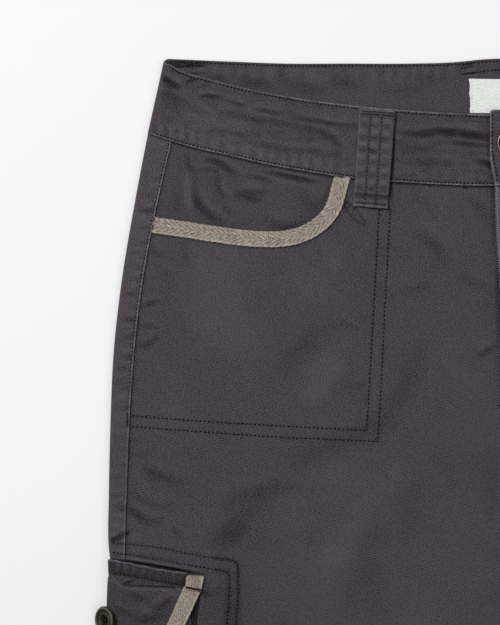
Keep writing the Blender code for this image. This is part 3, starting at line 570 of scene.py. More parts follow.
def piece(name, parts, finish):
    """One object at the origin from parts given in mm, with their weave, wear and painted light and shade,
    and sewn rows. The first part may have caps, which are faces with other numbers of corners."""
    counts = np.cumsum([0] + [len(part["points"]) for part in parts[:-1]])
    points = np.concatenate([part["points"] for part in parts]) * MM
    faces = np.concatenate([part["faces"] + count for part, count in zip(parts, counts)])
    mesh = bpy.data.meshes.new(name)
    mesh.from_pydata(points.tolist(), [], faces.tolist() + parts[0].get("caps", []))
    for key in ("fade", "row_a", "row_b"):
        if key in parts[0]:
            values = np.concatenate([part[key] for part in parts]).astype(np.float32)
            mesh.attributes.new(key, "FLOAT", "POINT").data.foreach_set("value", values)
    if "weave" in parts[0]:
        corner = np.empty(len(mesh.loops), int)
        mesh.loops.foreach_get("vertex_index", corner)
        weave = np.concatenate([part["weave"] for part in parts]) * MM
        mesh.uv_layers.new(name="weave").data.foreach_set("uv", weave[corner].ravel())
    mesh.shade_smooth()
    mesh.materials.append(finish)
    made = bpy.data.objects.new(name, mesh)
    bpy.context.scene.collection.objects.link(made)
    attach(made, "root")
    return made


def xyz(side, out, down, level):
    """Points in the part's own axes, in mm, from places on the cloth."""
    return np.stack(np.broadcast_arrays(side * out, MIDDLE - down, level), axis=-1).astype(float)


def settle(made, node):
    """Hides the node of the frame that a finished piece stands for."""
    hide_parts(node)


def cloth(side, name, node, parts, finish=None):
    """A piece of cloth on one side, named for its side, which hides the frame's node that it stands
    for. It is of twill unless another finish is given."""
    made = piece(f"{name}_{SIDES[side]}", parts, finish or washed_twill())
    settle(made, f"{node}_{SIDES[side]}")


def unrolled(points):
    """Each point's distance along its grid row, in mm: the summed lengths of the steps before it."""
    steps = np.linalg.norm(np.diff(points, axis=1), axis=2)
    return np.concatenate([np.zeros((len(points), 1)), np.cumsum(steps, axis=1)], axis=1)


def loop_shade(out, down):
    """The line of shade on the band and the leg to the right of a belt loop and under its end."""
    inner = read(LOOP_SIDES, "down", down, "inner")
    right = bell((inner - 0.8 - out) / 0.8) * ease((down - 33) / 3) * ease((93 - down) / 1.5)
    end = 92.9 - 0.086 * (out - 74)
    return np.maximum(right, bell((down - end) / 0.7) * ease((out - 73) / 1) * ease((96 - out) / 1))


def front_wear_and_shade(side, out, down):
    """Wear and painted light and shade on the front. Raised places are paler and hollows darker, partly
    wear and dye kept in the hollows and partly painted light and shade. Bells over a few broad areas
    add painted broad light and shade, paler over the pocket bag, and the belt loop's painted shadow darkens
    it."""
    broad = 0.0
    # painted broad light and shade over a few areas
    for at_out, at_down, wide, tall, amount in zip(*BROAD_SHADING.values()):
        broad = broad + amount * (bell((out - at_out) / wide) * bell((down - at_down) / tall))
    strip = 0.17 * ease(out - side_seam(down)) * ease((down - band_seam(out)) / 2)
    above = band_seam(out) - down
    streaks = (0.05 + 0.13 * (above > 0)) * drift(out / 3, above, 1.8, 91)
    # hollows darker and raised places paler: wear, dye kept in the hollows, and painted light and shade
    raised = np.clip(relief(side, out, down, 2.6) * 0.42, -0.95, 0.36)
    return raised + broad + strip + streaks - 0.85 * loop_shade(out, down)


def edge_wear_and_highlight(distance, out, down, most=1.1):
    """Paling of a folded edge, part wear and part painted highlight: a bell across it, uneven along it."""
    return most * bell((distance - 0.3) / 0.45) * (0.7 + 0.6 * drift(out, down, 1.6, 60))


# ---------------------------------------------------------------- materials


def linear(hex_colour):
    """An sRGB hex colour as linear red, green and blue."""
    value = np.array([int(hex_colour[i : i + 2], 16) for i in (1, 3, 5)]) / 255
    return tuple(np.where(value <= 0.04045, value / 12.92, ((value + 0.055) / 1.055) ** 2.4))


def add(tree, kind, inputs=None, stops=(), **settings):
    """Adds a node. inputs gives each socket a value, or the output that it is linked from, and stops
    gives a colour ramp its places and colours."""
    made = tree.nodes.new(kind)
    for key, value in settings.items():
        setattr(made, key, value)
    for i, (place, colour) in enumerate(stops):
        stop = made.color_ramp.elements[i] if i < 2 else made.color_ramp.elements.new(place)
        stop.position, stop.color = place, (*colour, 1.0)
    for key, value in (inputs or {}).items():
        if isinstance(value, bpy.types.NodeSocket):
            tree.links.new(value, made.inputs[key])
        else:
            made.inputs[key].default_value = value
    return made


def blank(name):
    """A material, its node tree and its shader. The last two are None where it has been made already."""
    made = bpy.data.materials.get(name)
    if made:
        return made, None, None
    made = bpy.data.materials.new(name)
    made.use_nodes = True
    return made, made.node_tree, made.node_tree.nodes["Principled BSDF"]


def washed_twill():
    """Cotton twill, piece-dyed charcoal and garment-washed. It is matt, with a low diagonal wale and
    short slubs. Its colour is paler and darker by each point's wear and painted light and shade, and
    along a sewn row a bump draws it down and painted shade of the groove and dirt darken it.
    Real wales are 0.5 mm apart, too fine for the picture, so they are as far apart as they show."""
    made, tree, shader = blank("washed_cotton_twill")
    if tree is None:
        return made
    sizes, looks = bpy.context.scene.trousers_sizes, bpy.context.scene.trousers_looks
    weave = add(tree, "ShaderNodeUVMap", uv_map="weave").outputs["UV"]
    twist = (0, 0, math.radians(77))
    turned = add(tree, "ShaderNodeMapping", {"Vector": weave, "Rotation": twist}).outputs[0]
    wavy = {"Distortion": 1.2, "Detail": 1.0, "Detail Scale": 1.2}
    scale = 0.31416 / sizes.wale_pitch
    wales = add(tree, "ShaderNodeTexWave", {"Vector": turned, "Scale": scale, **wavy}).outputs["Fac"]
    drawn = add(tree, "ShaderNodeMapping", {"Vector": turned, "Scale": (1.0, 0.7, 1.0)}).outputs[0]
    slubs = add(tree, "ShaderNodeTexNoise", {"Vector": drawn, "Scale": 2000, "Detail": 0}).outputs["Fac"]
    wash = add(tree, "ShaderNodeTexNoise", {"Vector": weave, "Scale": 30, "Detail": 3}).outputs["Fac"]
    mottle = add(tree, "ShaderNodeTexNoise", {"Vector": drawn, "Scale": 420, "Detail": 0}).outputs["Fac"]
    # each point's wear and painted light and shade
    fade = add(tree, "ShaderNodeAttribute", attribute_name="fade").outputs["Fac"]
    # painted shade of each sewn row's groove, and dirt, as a bell of the distance from the row
    row_groove_and_shade, narrow = 0.0, -1 / sizes.row_width**2
    for name in ("row_a", "row_b"):
        gap = add(tree, "ShaderNodeAttribute", attribute_name=name).outputs["Fac"]
        gap = add(tree, "ShaderNodeMath", {0: gap, 1: gap}, operation="MULTIPLY").outputs[0]
        gap = add(tree, "ShaderNodeMath", {0: gap, 1: narrow}, operation="MULTIPLY").outputs[0]
        gap = add(tree, "ShaderNodeMath", {0: gap}, operation="EXPONENT").outputs[0]
        row_groove_and_shade = add(tree, "ShaderNodeMath", {0: gap, 1: row_groove_and_shade}, operation="ADD").outputs[0]
    tone = -0.92
    shares = ((wales, 0.3), (slubs, 3.0), (wash, 0.2), (mottle, 0.34), (fade, 1.0), (row_groove_and_shade, -0.19))
    for part, share in shares:
        tone = add(tree, "ShaderNodeMath", {0: part, 1: share, 2: tone}, operation="MULTIPLY_ADD").outputs[0]
    tone = add(tree, "ShaderNodeMath", {0: tone, 1: 0.05}, operation="MAXIMUM").outputs[0]
    dyed = {0: tuple(looks.twill), "Scale": tone}
    colour = add(tree, "ShaderNodeVectorMath", dyed, operation="SCALE").outputs[0]
    height = add(tree, "ShaderNodeMath", {0: wales, 1: slubs}, operation="ADD").outputs[0]
    sunk = {0: row_groove_and_shade, 1: -1.2, 2: height}
    height = add(tree, "ShaderNodeMath", sunk, operation="MULTIPLY_ADD").outputs[0]
    bump = add(tree, "ShaderNodeBump", {"Height": height, "Strength": 0.35, "Distance": 0.0003})
    tree.links.new(colour, shader.inputs["Base Color"])
    tree.links.new(bump.outputs[0], shader.inputs["Normal"])
    shader.inputs["Roughness"].default_value = 0.86
    shader.inputs["Specular IOR Level"].default_value = 0.3
    shader.inputs["Sheen Weight"].default_value = 0.05
    return made


def herringbone_tape():
    """Cotton twill tape woven in herringbone, washed with the cloth. Its two halves slope to a
    middle line, dark between the ribs, and the selvedges are a little raised and paler."""
    made, tree, shader = blank("herringbone_cotton_tape")
    if tree is None:
        return made
    sizes, looks = bpy.context.scene.trousers_sizes, bpy.context.scene.trousers_looks
    weave = add(tree, "ShaderNodeUVMap", uv_map="weave").outputs["UV"]
    split = add(tree, "ShaderNodeSeparateXYZ", {"Vector": weave})
    aside = add(tree, "ShaderNodeMath", {0: split.outputs["X"]}, operation="ABSOLUTE").outputs[0]
    sloped = {0: aside, 1: RIB_SLOPE, 2: split.outputs["Y"]}
    chevron = add(tree, "ShaderNodeMath", sloped, operation="MULTIPLY_ADD").outputs[0]
    along_rib = add(tree, "ShaderNodeMath", {0: split.outputs["X"], 1: 0.6}, operation="MULTIPLY").outputs[0]
    drawn = add(tree, "ShaderNodeCombineXYZ", {"X": along_rib, "Y": chevron}).outputs[0]
    waves = []
    for place, pitch in ((chevron, sizes.rib_pitch), (split.outputs["Y"], PICK_PITCH)):
        turn = {0: place, 1: 2 * math.pi / pitch}
        turn = add(tree, "ShaderNodeMath", turn, operation="MULTIPLY").outputs[0]
        waves.append(add(tree, "ShaderNodeMath", {0: turn}, operation="SINE").outputs[0])
    ribs, picks = waves
    grain = add(tree, "ShaderNodeTexNoise", {"Vector": drawn, "Scale": 1150, "Detail": 0}).outputs["Fac"]
    wash = add(tree, "ShaderNodeTexNoise", {"Vector": weave, "Scale": 110, "Detail": 2}).outputs["Fac"]
    fade = add(tree, "ShaderNodeAttribute", attribute_name="fade").outputs["Fac"]
    tone = -0.61
    shares = ((ribs, 0.24), (picks, 0.16), (grain, 2.5), (wash, 0.8), (fade, 0.6))
    for part, share in shares:
        tone = add(tree, "ShaderNodeMath", {0: part, 1: share, 2: tone}, operation="MULTIPLY_ADD").outputs[0]
    tone = add(tree, "ShaderNodeMath", {0: tone, 1: 0.25}, operation="MAXIMUM").outputs[0]
    dyed = {0: tuple(looks.tape), "Scale": tone}
    colour = add(tree, "ShaderNodeVectorMath", dyed, operation="SCALE").outputs[0]
    height = add(tree, "ShaderNodeMath", {0: ribs, 1: grain}, operation="ADD").outputs[0]
    bump = add(tree, "ShaderNodeBump", {"Height": height, "Strength": 0.4, "Distance": 0.00015})
    tree.links.new(colour, shader.inputs["Base Color"])
    tree.links.new(bump.outputs[0], shader.inputs["Normal"])
    shader.inputs["Roughness"].default_value = 0.82
    shader.inputs["Sheen Weight"].default_value = 0.1
    return made


def spun_thread():
    """Core-spun polyester thread, dyed near black. It is smoother than the cloth, with its ply showing."""
    made, tree, shader = blank("spun_polyester_thread")
    if tree is None:
        return made
    looks = bpy.context.scene.trousers_looks
    place = add(tree, "ShaderNodeTexCoord").outputs["Object"]
    ply = add(tree, "ShaderNodeTexNoise", {"Vector": place, "Scale": 900, "Detail": 1}).outputs["Fac"]
    stops = (0.3, tuple(0.6 * c for c in looks.thread)), (0.75, tuple(looks.thread))
    colour = add(tree, "ShaderNodeValToRGB", {"Fac": ply}, stops).outputs["Color"]
    tree.links.new(colour, shader.inputs["Base Color"])
    shader.inputs["Roughness"].default_value = 0.8
    shader.inputs["Specular IOR Level"].default_value = 0.15
    return made


def woven_label():
    """White polyester taffeta label, fine and flat, with a soft lustre. It carries no lettering."""
    made, tree, shader = blank("white_taffeta_label")
    if tree is None:
        return made
    looks = bpy.context.scene.trousers_looks
    weave = add(tree, "ShaderNodeUVMap", uv_map="weave").outputs["UV"]
    drawn = add(tree, "ShaderNodeMapping", {"Vector": weave, "Scale": (0.4, 2.0, 1.0)}).outputs[0]
    picks = add(tree, "ShaderNodeTexNoise", {"Vector": drawn, "Scale": 900, "Detail": 1}).outputs["Fac"]
    fade = add(tree, "ShaderNodeAttribute", attribute_name="fade").outputs["Fac"]
    tone = add(tree, "ShaderNodeMath", {0: fade, 1: 0.5, 2: picks}, operation="MULTIPLY_ADD").outputs[0]
    stops = (0.1, linear("#b9bab2")), (0.6, tuple(looks.label)), (0.9, linear("#f2f5f3"))
    colour = add(tree, "ShaderNodeValToRGB", {"Fac": tone}, stops).outputs["Color"]
    bump = add(tree, "ShaderNodeBump", {"Height": picks, "Strength": 0.2, "Distance": 0.0001})
    tree.links.new(colour, shader.inputs["Base Color"])
    tree.links.new(bump.outputs[0], shader.inputs["Normal"])
    shader.inputs["Roughness"].default_value = 0.5
    return made


def antique_brass():
    """Die-cast brass, blackened and rubbed back: brown in the hollows, dull gold on the rims."""
    made, tree, shader = blank("antique_brass")
    if tree is None:
        return made
    looks = bpy.context.scene.trousers_looks
    place = add(tree, "ShaderNodeTexCoord").outputs["Object"]
    patina = add(tree, "ShaderNodeTexNoise", {"Vector": place, "Scale": 420, "Detail": 3}).outputs["Fac"]
    rub = add(tree, "ShaderNodeAttribute", attribute_name="fade").outputs["Fac"]
    tone = add(tree, "ShaderNodeMath", {0: patina, 1: 0.5, 2: rub}, operation="MULTIPLY_ADD").outputs[0]
    stops = (0.1, linear("#1d1814")), (1.1 / 1.2, linear("#a8957a")), (0.5, tuple(looks.brass))
    colour = add(tree, "ShaderNodeValToRGB", {"Fac": tone}, stops).outputs["Color"]
    rough = add(tree, "ShaderNodeMapRange", {"Value": tone, "To Min": 0.62, "To Max": 0.36}).outputs[0]
    tree.links.new(colour, shader.inputs["Base Color"])
    tree.links.new(rough, shader.inputs["Roughness"])
    shader.inputs["Metallic"].default_value = 0.85
    return made


# ---------------------------------------------------------------- pieces of cloth


def back_grid(side):
    """The back leg's points: rows run from the band's seam to the hem, columns round the fold."""
    rows = (rows_down(BACK_TOP, HEM, knots=[(308, 6)]) - BACK_TOP) / (HEM - BACK_TOP)
    stage = wrapped(np.linspace(0, 1, 25)[:-1], 10, spread(12, 0.7, start=False))
    stage, row = np.meshgrid(stage, rows)
    down = BACK_TOP + row * (HEM - BACK_TOP)
    for _ in range(4):
        reach_back = half_width(down) - FOLD - np.maximum(inner_edge(LEFT, down), GAP / 2)
        reach_front = half_width(down) - FOLD - side_seam(down) - GAP / 2
        out, level = round_fold(side, stage, reach_back, reach_front, down)
        flat_out = out - FOLD * np.sin(np.clip(stage - 1, 0, 1) * math.pi)
        edge = wrapped_seam(stage, flat_out) + GAP
        down = edge + row * (HEM - edge)
    return stage, out, down, level


def strip_proud(out, down):
    """The back leg's pressed edge: raised at the side seam, easing to the fold."""
    off_seam = out - side_seam(down)
    return SEAM_PROUD * (1 - ease((off_seam - 4) / 7)) * ease(off_seam / 0.2 + 0.5)


def back_panel(side):
    """A back leg, round the fold to the side seam: the front's relief eased in round the fold, and a
    pressed edge whose quarter circle turns down at the seam. The edge is paler, unevenly, from wear and
    painted highlight, and painted shadow darkens the leg just above the cargo pocket's mouth."""
    stage, out, down, level = back_grid(side)
    over = ease(stage - 1)
    seam = np.maximum(out - side_seam(down) - GAP / 2, 0)
    bulge = over * (relief(side, out, down) + strip_proud(out, down) * ease(stage - 1.6))
    edge = np.where(stage > 2, edge_drop(seam), 0.0)
    points = xyz(side, out, down, level)
    # the pressed edge paler from wear and painted highlight
    sewn_edge = 1 - 0.5 * ease((down - 228) / 4) + 0.4 * ease((down - 294) / 2)
    fade = over * (front_wear_and_shade(side, out, down) + edge_wear_and_highlight(seam - 0.35, out, down, 2.5) * sewn_edge * (stage > 2))
    # painted shadow in the gap just above the cargo pocket's mouth
    mouth = MOUTH_TOP + MOUTH_SLOPE * (half_width(down) - FOLD - out)
    fade = fade - 0.7 * over * bell((mouth - 0.3 - down) / 0.8)
    rows = leg_rows(side)
    gaps = [np.where(stage > 1.6, row_gap(rows[key], out, down), FAR) for key in ("strip", "outer")]
    weave = unrolled(points), points[..., 1]
    part = wall(side, points, bulge, edge, TWILL, weave, fade, gaps)
    cloth(side, "back_leg", "back_panel", [part])


def front_grid(side):
    """The front leg's points: the top row follows the pocket mouth and the band, and rows straighten."""
    mouth_share = 0.6
    edge_out, _ = scoop(np.array([1.0]), TAPE_WIDTH / 2)

    def top_edge(across):
        inner = float(inner_edge(side, np.array(float(FRONT_TOP))))
        out_mouth, down_mouth = scoop(np.clip(across / mouth_share, 0, 1), TAPE_WIDTH / 2)
        along = np.clip((across - mouth_share) / (1 - mouth_share), 0, 1)
        out_seam = edge_out + (inner - edge_out) * along
        on_mouth = across <= mouth_share
        down_mouth = np.maximum(down_mouth, band_seam(out_mouth) + GAP)
        out = np.where(on_mouth, out_mouth, out_seam)
        return out, np.where(on_mouth, down_mouth, band_seam(out_seam) + GAP)

    rows = rows_down(FRONT_TOP, HEM, knots=[(88, 2), (302, 8)])
    rows = (rows - FRONT_TOP) / (HEM - FRONT_TOP)
    across, row = np.meshgrid(spread(235, 2.05), rows)
    out_top, down_top = top_edge(across)
    side_top, inner_top = top_edge(np.zeros(1))[1], top_edge(np.ones(1))[1]
    side_down = side_top + row * (HEM - side_top)
    inner_down = inner_top + row * (HEM - inner_top)
    straight_down = side_down + (inner_down - side_down) * across
    side_out = side_seam(side_down) - GAP / 2
    straight_out = side_out + (inner_edge(side, inner_down) - side_out) * across
    chord_down = side_top + (inner_top - side_top) * across
    chord_out = top_edge(np.zeros(1))[0] * (1 - across) + top_edge(np.ones(1))[0] * across
    easing = (1 - row) ** 4
    out = straight_out + (out_top - chord_out) * easing
    down = straight_down + (down_top - chord_down) * easing
    return np.minimum(out, side_seam(down) - GAP / 2), down


def fly_proud(side, out, down):
    """The fly's folded front edge is thicker than the leg."""
    from_edge = out - inner_edge(side, down)
    return 0.35 * (1 - ease((from_edge - 2) / 5)) * (side == LEFT) * (1 - ease((down - 225) / 40))


def front_panel(side):
    """A front leg: the frame's face plus its relief, and the fly's folded edge, paler from wear and
    painted highlight. Painted shade darkens it in the side seam, under the band, beside the fly and the
    mouth tape, and along the cargo pocket's rows."""
    out, down = front_grid(side)
    from_edge = np.maximum(out - inner_edge(side, down), 0)
    bulge = relief(side, out, down) + fly_proud(side, out, down)
    folded = (side == LEFT) + 0.0 * out
    seam = side_seam(down) - GAP / 2 - out
    # painted shade in the side seam, and the band's painted shadow just under its lower edge
    band_edge_shadow = (0.85 + 0.1 * ease((75 - out) / 5)) * bell((down - band_seam(out) - 0.4) / 1.0)
    fade = front_wear_and_shade(side, out, down) - 0.45 * bell(seam / 1.1) - band_edge_shadow
    # the fly's folded edge paler, from wear and painted highlight
    fly_edge_wear_and_highlight = 1.9 * ease(from_edge / 0.4 + 0.5) * ease((2.7 - from_edge) / 0.6)
    fade = fade + fly_edge_wear_and_highlight * folded * ease((236 - down) / 12)
    if side == RIGHT:
        # painted shadow of the left front's lapped fly on the right front
        beside_fly = out + inner_edge(LEFT, down)
        shade = 0.5 * bell((beside_fly - 0.7) / 0.9) + 0.14 * bell(beside_fly / 5)
        fade = fade - shade * ease((236 - down) / 30)
    # painted shadow beside the mouth tape's outer edge
    fade = fade - 0.35 * bell((above_mouth(out, down) + TAPE_WIDTH + 0.5) / 0.8)
    points = xyz(side, out, down, front_level(side, out, down))
    rows = leg_rows(side)
    gaps = [row_gap(rows[key], out, down) for key in ("inner", "outer")]
    # painted shade along the cargo pocket's double row, and painted light on the cloth between its rows
    patch = ease((184 - out) / 5) * ease((down - 300) / 6)
    sewn = 0.38 * patch * (bell(gaps[0] / 1.7) + bell(gaps[1] / 1.7))
    fade = fade - sewn + 0.07 * patch * (np.abs(gaps[0] - gaps[1]) < 12)
    weave = points[..., 0], points[..., 1]
    edge = edge_drop(from_edge) * folded
    part = wall(side, points, bulge, edge, TWILL, weave, fade, gaps)
    cloth(side, "front_leg", "front_panel", [part])


def facing_level(side, out, down):
    """The pocket facing's face: it dips under the mouth's edge, and the frame's folds cross it."""
    opening = above_mouth(out, down)
    sink = (WALL + LAY) * (1 - ease((opening + 4) / 14))
    inside = ease((opening - 4) / 12) * ease((down - band_seam(out) - 2) / 8)
    inside = inside * ease((side_seam(down) - out) / 10)
    return front_level(side, out, down) + folds(FACING_FOLDS, side, out, down) * inside - sink


def facing_relief(side, out, down):
    """The facing's fan of creases, calmed at its seams, with a slight unevenness."""
    clear = ease((down - band_seam(out)) / 3) * ease((side_seam(down) - out) / 5)
    level = creases(FACING_CREASES, side, out, down) * clear + 0.12 * drift(out, down, 8, 21)
    return level - 0.35 * bell((down - band_seam(out)) / 1.5)


def pocket_facing(side):
    """The cloth inside the pocket's mouth, from the side seam inwards: facing_level plus facing_relief."""
    across, row = np.meshgrid(spread(140, 1.3), spread(58, 1.05))
    down = np.full_like(across, 80.0)
    for _ in range(3):
        outer = side_seam(down) - GAP / 2
        out = outer + (FACING_IN - outer) * across
        edge = band_seam(out) + GAP
        down = edge + (FACING_LOW - 6 * (1 - across) - edge) * row
    bulge = facing_relief(side, out, down)
    # painted shade in the creases and painted light on the ridges, and painted shade in the side seam and
    # under the band's edge
    fade = np.clip(bulge * 0.44, -0.62, 0.3) - 0.04 - 0.35 * bell((side_seam(down) - out) / 0.9)
    fade = fade - 0.75 * bell((down - band_seam(out) - 0.3) / 1.0)
    points = xyz(side, out, down, facing_level(side, out, down))
    weave = points[..., 0], points[..., 1]
    part = wall(side, points, bulge, 0 * out, TWILL, weave, fade)
    cloth(side, "facing", "pocket_facing", [part])


def band_grid(side):
    """The band's points: columns run from the centre back round the fold to the fly."""
    over = spread(230, 1.25, start=False, knots=[(138 if side == RIGHT else 148, 4)])
    stage, row = np.meshgrid(wrapped(np.linspace(0, 1, 90)[:-1], 10, over), spread(44, 1.0))
    turn = ease(stage - 1)
    centre = half_width(BAND_DEPTH * row) - FOLD
    end = np.interp(row, BAND_END["row"], BAND_END["out"]) if side == LEFT else UNDERLAP_BAND
    back_out = centre + (GAP / 2 - centre) * np.clip(1 - stage, 0, 1)
    front_out = centre + (end - centre) * np.clip(stage - 2, 0, 1)
    flat_out = np.where(stage < 1, back_out, front_out)
    edge = (1 - turn) * back_waist(flat_out) + turn * front_waist(side, flat_out)
    down = edge + (wrapped_seam(stage, flat_out) - edge) * row
    angle = np.clip(stage - 1, 0, 1) * math.pi
    out = flat_out + FOLD * np.sin(angle)
    level = np.where(stage > 2, front_level(side, out, down), FOLD - FOLD * np.cos(angle))
    return stage, out, down, level, edge


def inside_band(side, out, down):
    """The inside of the back band: soft creases and slight waves along its stitched top."""
    level = creases(INSIDE_CREASES, side, out, down) + 0.22 * drift(out, down, 13, 31)
    level = level + 0.7 * puckers(out, 9.5, 3.3) * bell((down - back_waist(out) - 7) / 5)
    return level * ease((down - back_waist(out)) / 3)


def waistband(side):
    """Half of the band: its face has the front's relief and stands a little proud, its edges turn down
    in quarter circles, and its inside has creases of its own. Its edges are paler, from wear and painted
    highlight, and painted shade falls in its creases, the inside corner and beside the lap."""
    stage, out, down, level, upper = band_grid(side)
    turn = ease(stage - 1)
    front = stage > 2
    seam = np.where(front, band_seam(out) - down, 9.0)
    below = np.maximum(down - upper, 0)
    end = np.where(front, out - out[:, -1:], 9.0) if side == LEFT else np.full_like(out, 9.0)
    nearest = np.minimum(np.minimum(below, np.maximum(seam, 0)), np.maximum(end, 0))
    bulge = turn * (relief(side, out, down) + BAND_PROUD)
    edge = edge_drop(nearest) * np.where(stage > 1, 1.0, 0.5)
    inside = inside_band(side, out, down)
    # over the seam allowance the band is paler, and its puckers paler and darker: wear and painted light and
    # shade
    allowance = bell((seam - 5.8) / 3.6) * (0.35 + 0.65 * ease((out - 85) / 16))
    drawn_up = 0.14 + (0.2 + 0.12 * ease((out - 140) / 20)) * puckers(out, 7.4, 1.7)
    fade = turn * (front_wear_and_shade(side, out, down) + drawn_up * allowance)
    # painted shade in the inside's top corner at the side, and in the inside's creases, with painted light on
    # its ridges
    corner_shade = -0.95 * ease((out - 185) / 4) * bell((down - 2.7) / 1.8) * (1 + 0.4 * drift(out, down, 1.4, 52))
    fade = fade + (1 - turn) * (np.clip(inside * 0.36, -0.5, 0.25) + corner_shade)
    # the band's edges, and the left band's end, paler from wear and painted highlight
    middle = ease((150 - out) / 30)
    fade = fade + ease(3 * (stage - 1)) * edge_wear_and_highlight(below, out, down, 1.9 + 0.8 * middle)
    fade = fade + front * edge_wear_and_highlight(seam - 0.25, out, down, 2.4)
    if side == LEFT:
        fade = fade + front * (edge_wear_and_highlight(end, out, down, 2.0) + edge_wear_and_highlight(end - 0.8, out, down, 1.0))
    else:
        # painted shadow of the left band's lapping end on the right band
        lap = np.interp(down, (34, 62, 77), (11.0, 10.9, 7.9))
        fade = fade - front * (0.5 * bell((out - lap - 0.8) / 0.8) + 0.12 * bell((out - lap) / 7))
    points = xyz(side, out, down, level)
    rows = band_rows(side)
    gaps = [np.where(stage > 1.5, row_gap(rows["front"], out, down), row_gap(rows["inside"], out, down))]
    gaps.append(np.full_like(out, FAR))
    weave = unrolled(points), points[..., 1]
    part = wall(side, points, bulge, edge, BAND_TWILL, weave, fade, gaps, (turn - 1) * inside)
    cloth(side, "band", "waistband", [part])


def loop_place(side, across, row):
    """A belt loop's out, down and level, and its own relief: its sides splay, a squared sine arches
    it, two channels run down it, and cosine pads stand between them."""
    down = LOOP_TOP + LOOP_LONG * row + LOOP_SLANT * across
    outer, inner = (read(LOOP_SIDES, "down", down, key) for key in ("outer", "inner"))
    out = outer + (inner - outer) * across
    arch = LOOP_ARCH * np.sin(math.pi * np.clip(row * 1.1 - 0.05, 0, 1)) ** 2
    free = ease((row - 0.07) / 0.05) * ease((0.86 - row) / 0.04)
    pads = 0.62 * np.cos(2 * math.pi * ((down - LOOP_SLANT * across) / 7.8 + 0.25)) * free
    pads = pads * np.abs(np.sin(math.pi * np.clip(across * 3.1, 0, 3.1)))
    pads = pads + 0.2 * drift(out, down, 4, 44) * free
    channel = sum(bell((across - share) / 0.045) for share in LOOP_CHANNELS)
    channel = -0.6 * channel * ease((row - 0.06) / 0.04)
    fold = -1.3 * bell((row - 0.885) / 0.022) + 0.4 * bell((row - 0.985) / 0.012)
    lumps = 0.6 * drift(out, down, 0.9, 47) * (bell((row - 0.04) / 0.025) + bell((row - 0.945) / 0.02))
    level = front_level(side, out, down) + LAY + LOOP_WALL + arch + BAND_PROUD * 0.5
    return out, down, level, pads + channel + fold + lumps + creases(LOOP_CREASES, side, out, down) * free


def belt_loop(side):
    """A belt loop: loop_place's surface with rounded edges, paler along them from wear and painted
    highlight, and with painted shade on its right-hand edge and at its lower end.
    """
    across, row = np.meshgrid(spread(LOOP_WIDE, 0.48, first=0.12), spread(LOOP_LONG, 0.6, first=0.12))
    out, down, level, bulge = loop_place(side, across, row)
    aside, along = np.minimum(across, 1 - across) * LOOP_WIDE, np.minimum(row, 1 - row) * LOOP_LONG
    edge = edge_drop(np.minimum(aside, along), 0.9)
    start, end = row * LOOP_LONG, (1 - row) * LOOP_LONG
    # pads and creases painted paler and darker as lit and shaded, the loop a little paler overall, and its
    # edges paler from wear and painted highlight
    fade = 0.2 + np.clip(bulge * 0.66, -0.62, 0.5) + edge_wear_and_highlight(across * LOOP_WIDE, out, down, 1.0)
    fade = fade + edge_wear_and_highlight(start, out, down, 1.3) - 0.3 * bell((start - 4.2) / 1.6)
    # its lower end paler just inside, then a painted shadow at the edge
    fade = fade + edge_wear_and_highlight(end - 0.6, out, down, 1.0) - 0.9 * bell(end / 0.4)
    # painted shade along the loop's right-hand edge
    fade = fade - 0.7 * bell((1 - across) * LOOP_WIDE / 0.6)
    points = xyz(side, out, down, level)
    weave = points[..., 0], points[..., 1]
    part = wall(side, points, bulge, edge, LOOP_CLOTH, weave, fade)
    cloth(side, "loop", "belt_loop", [part])


def pocket_lip(reach_in):
    """How far below the mouth the body's fold over the casing's stitches ends: a slanting line."""
    return 15.0 - 0.143 * reach_in


def pocket_swell(reach_in, reach, down):
    """How far the pocket's front swells. The casing is gathered on its cord, and the fuller body
    hangs over the casing's stitches in a soft lip."""
    below = down - MOUTH_TOP - MOUTH_SLOPE * reach_in
    on = ease((POCKET_BOTTOM - down) / 60)
    swell = POCKET_PUFF * ease((below - CASING) / 50) * on
    over = below - pocket_lip(reach_in)
    body = (0.9 - 0.7 * ease(over / 0.5) * ease((reach_in - 5) / 3)) * ease((below - CASING - 0.7) / 1.2)
    gather = 0.6 * puckers(reach_in, 4.7, 0.9) * bell((below - 3.6) / 3) * ease((reach_in - 3) / 5)
    gather = gather + 0.25 * puckers(reach_in, 7.9, 2.2) * bell((below - 20) / 7)
    sewn = -0.5 * bell((below - CASING - 0.3) / 0.8)
    agape = 1.0 * bell((reach_in - 25) / 13) * bell(below / 3.4)
    shape = body * on + swell + gather + sewn + 0.3
    return shape * ease(reach_in / 6) * ease((reach - reach_in) / 7) + agape


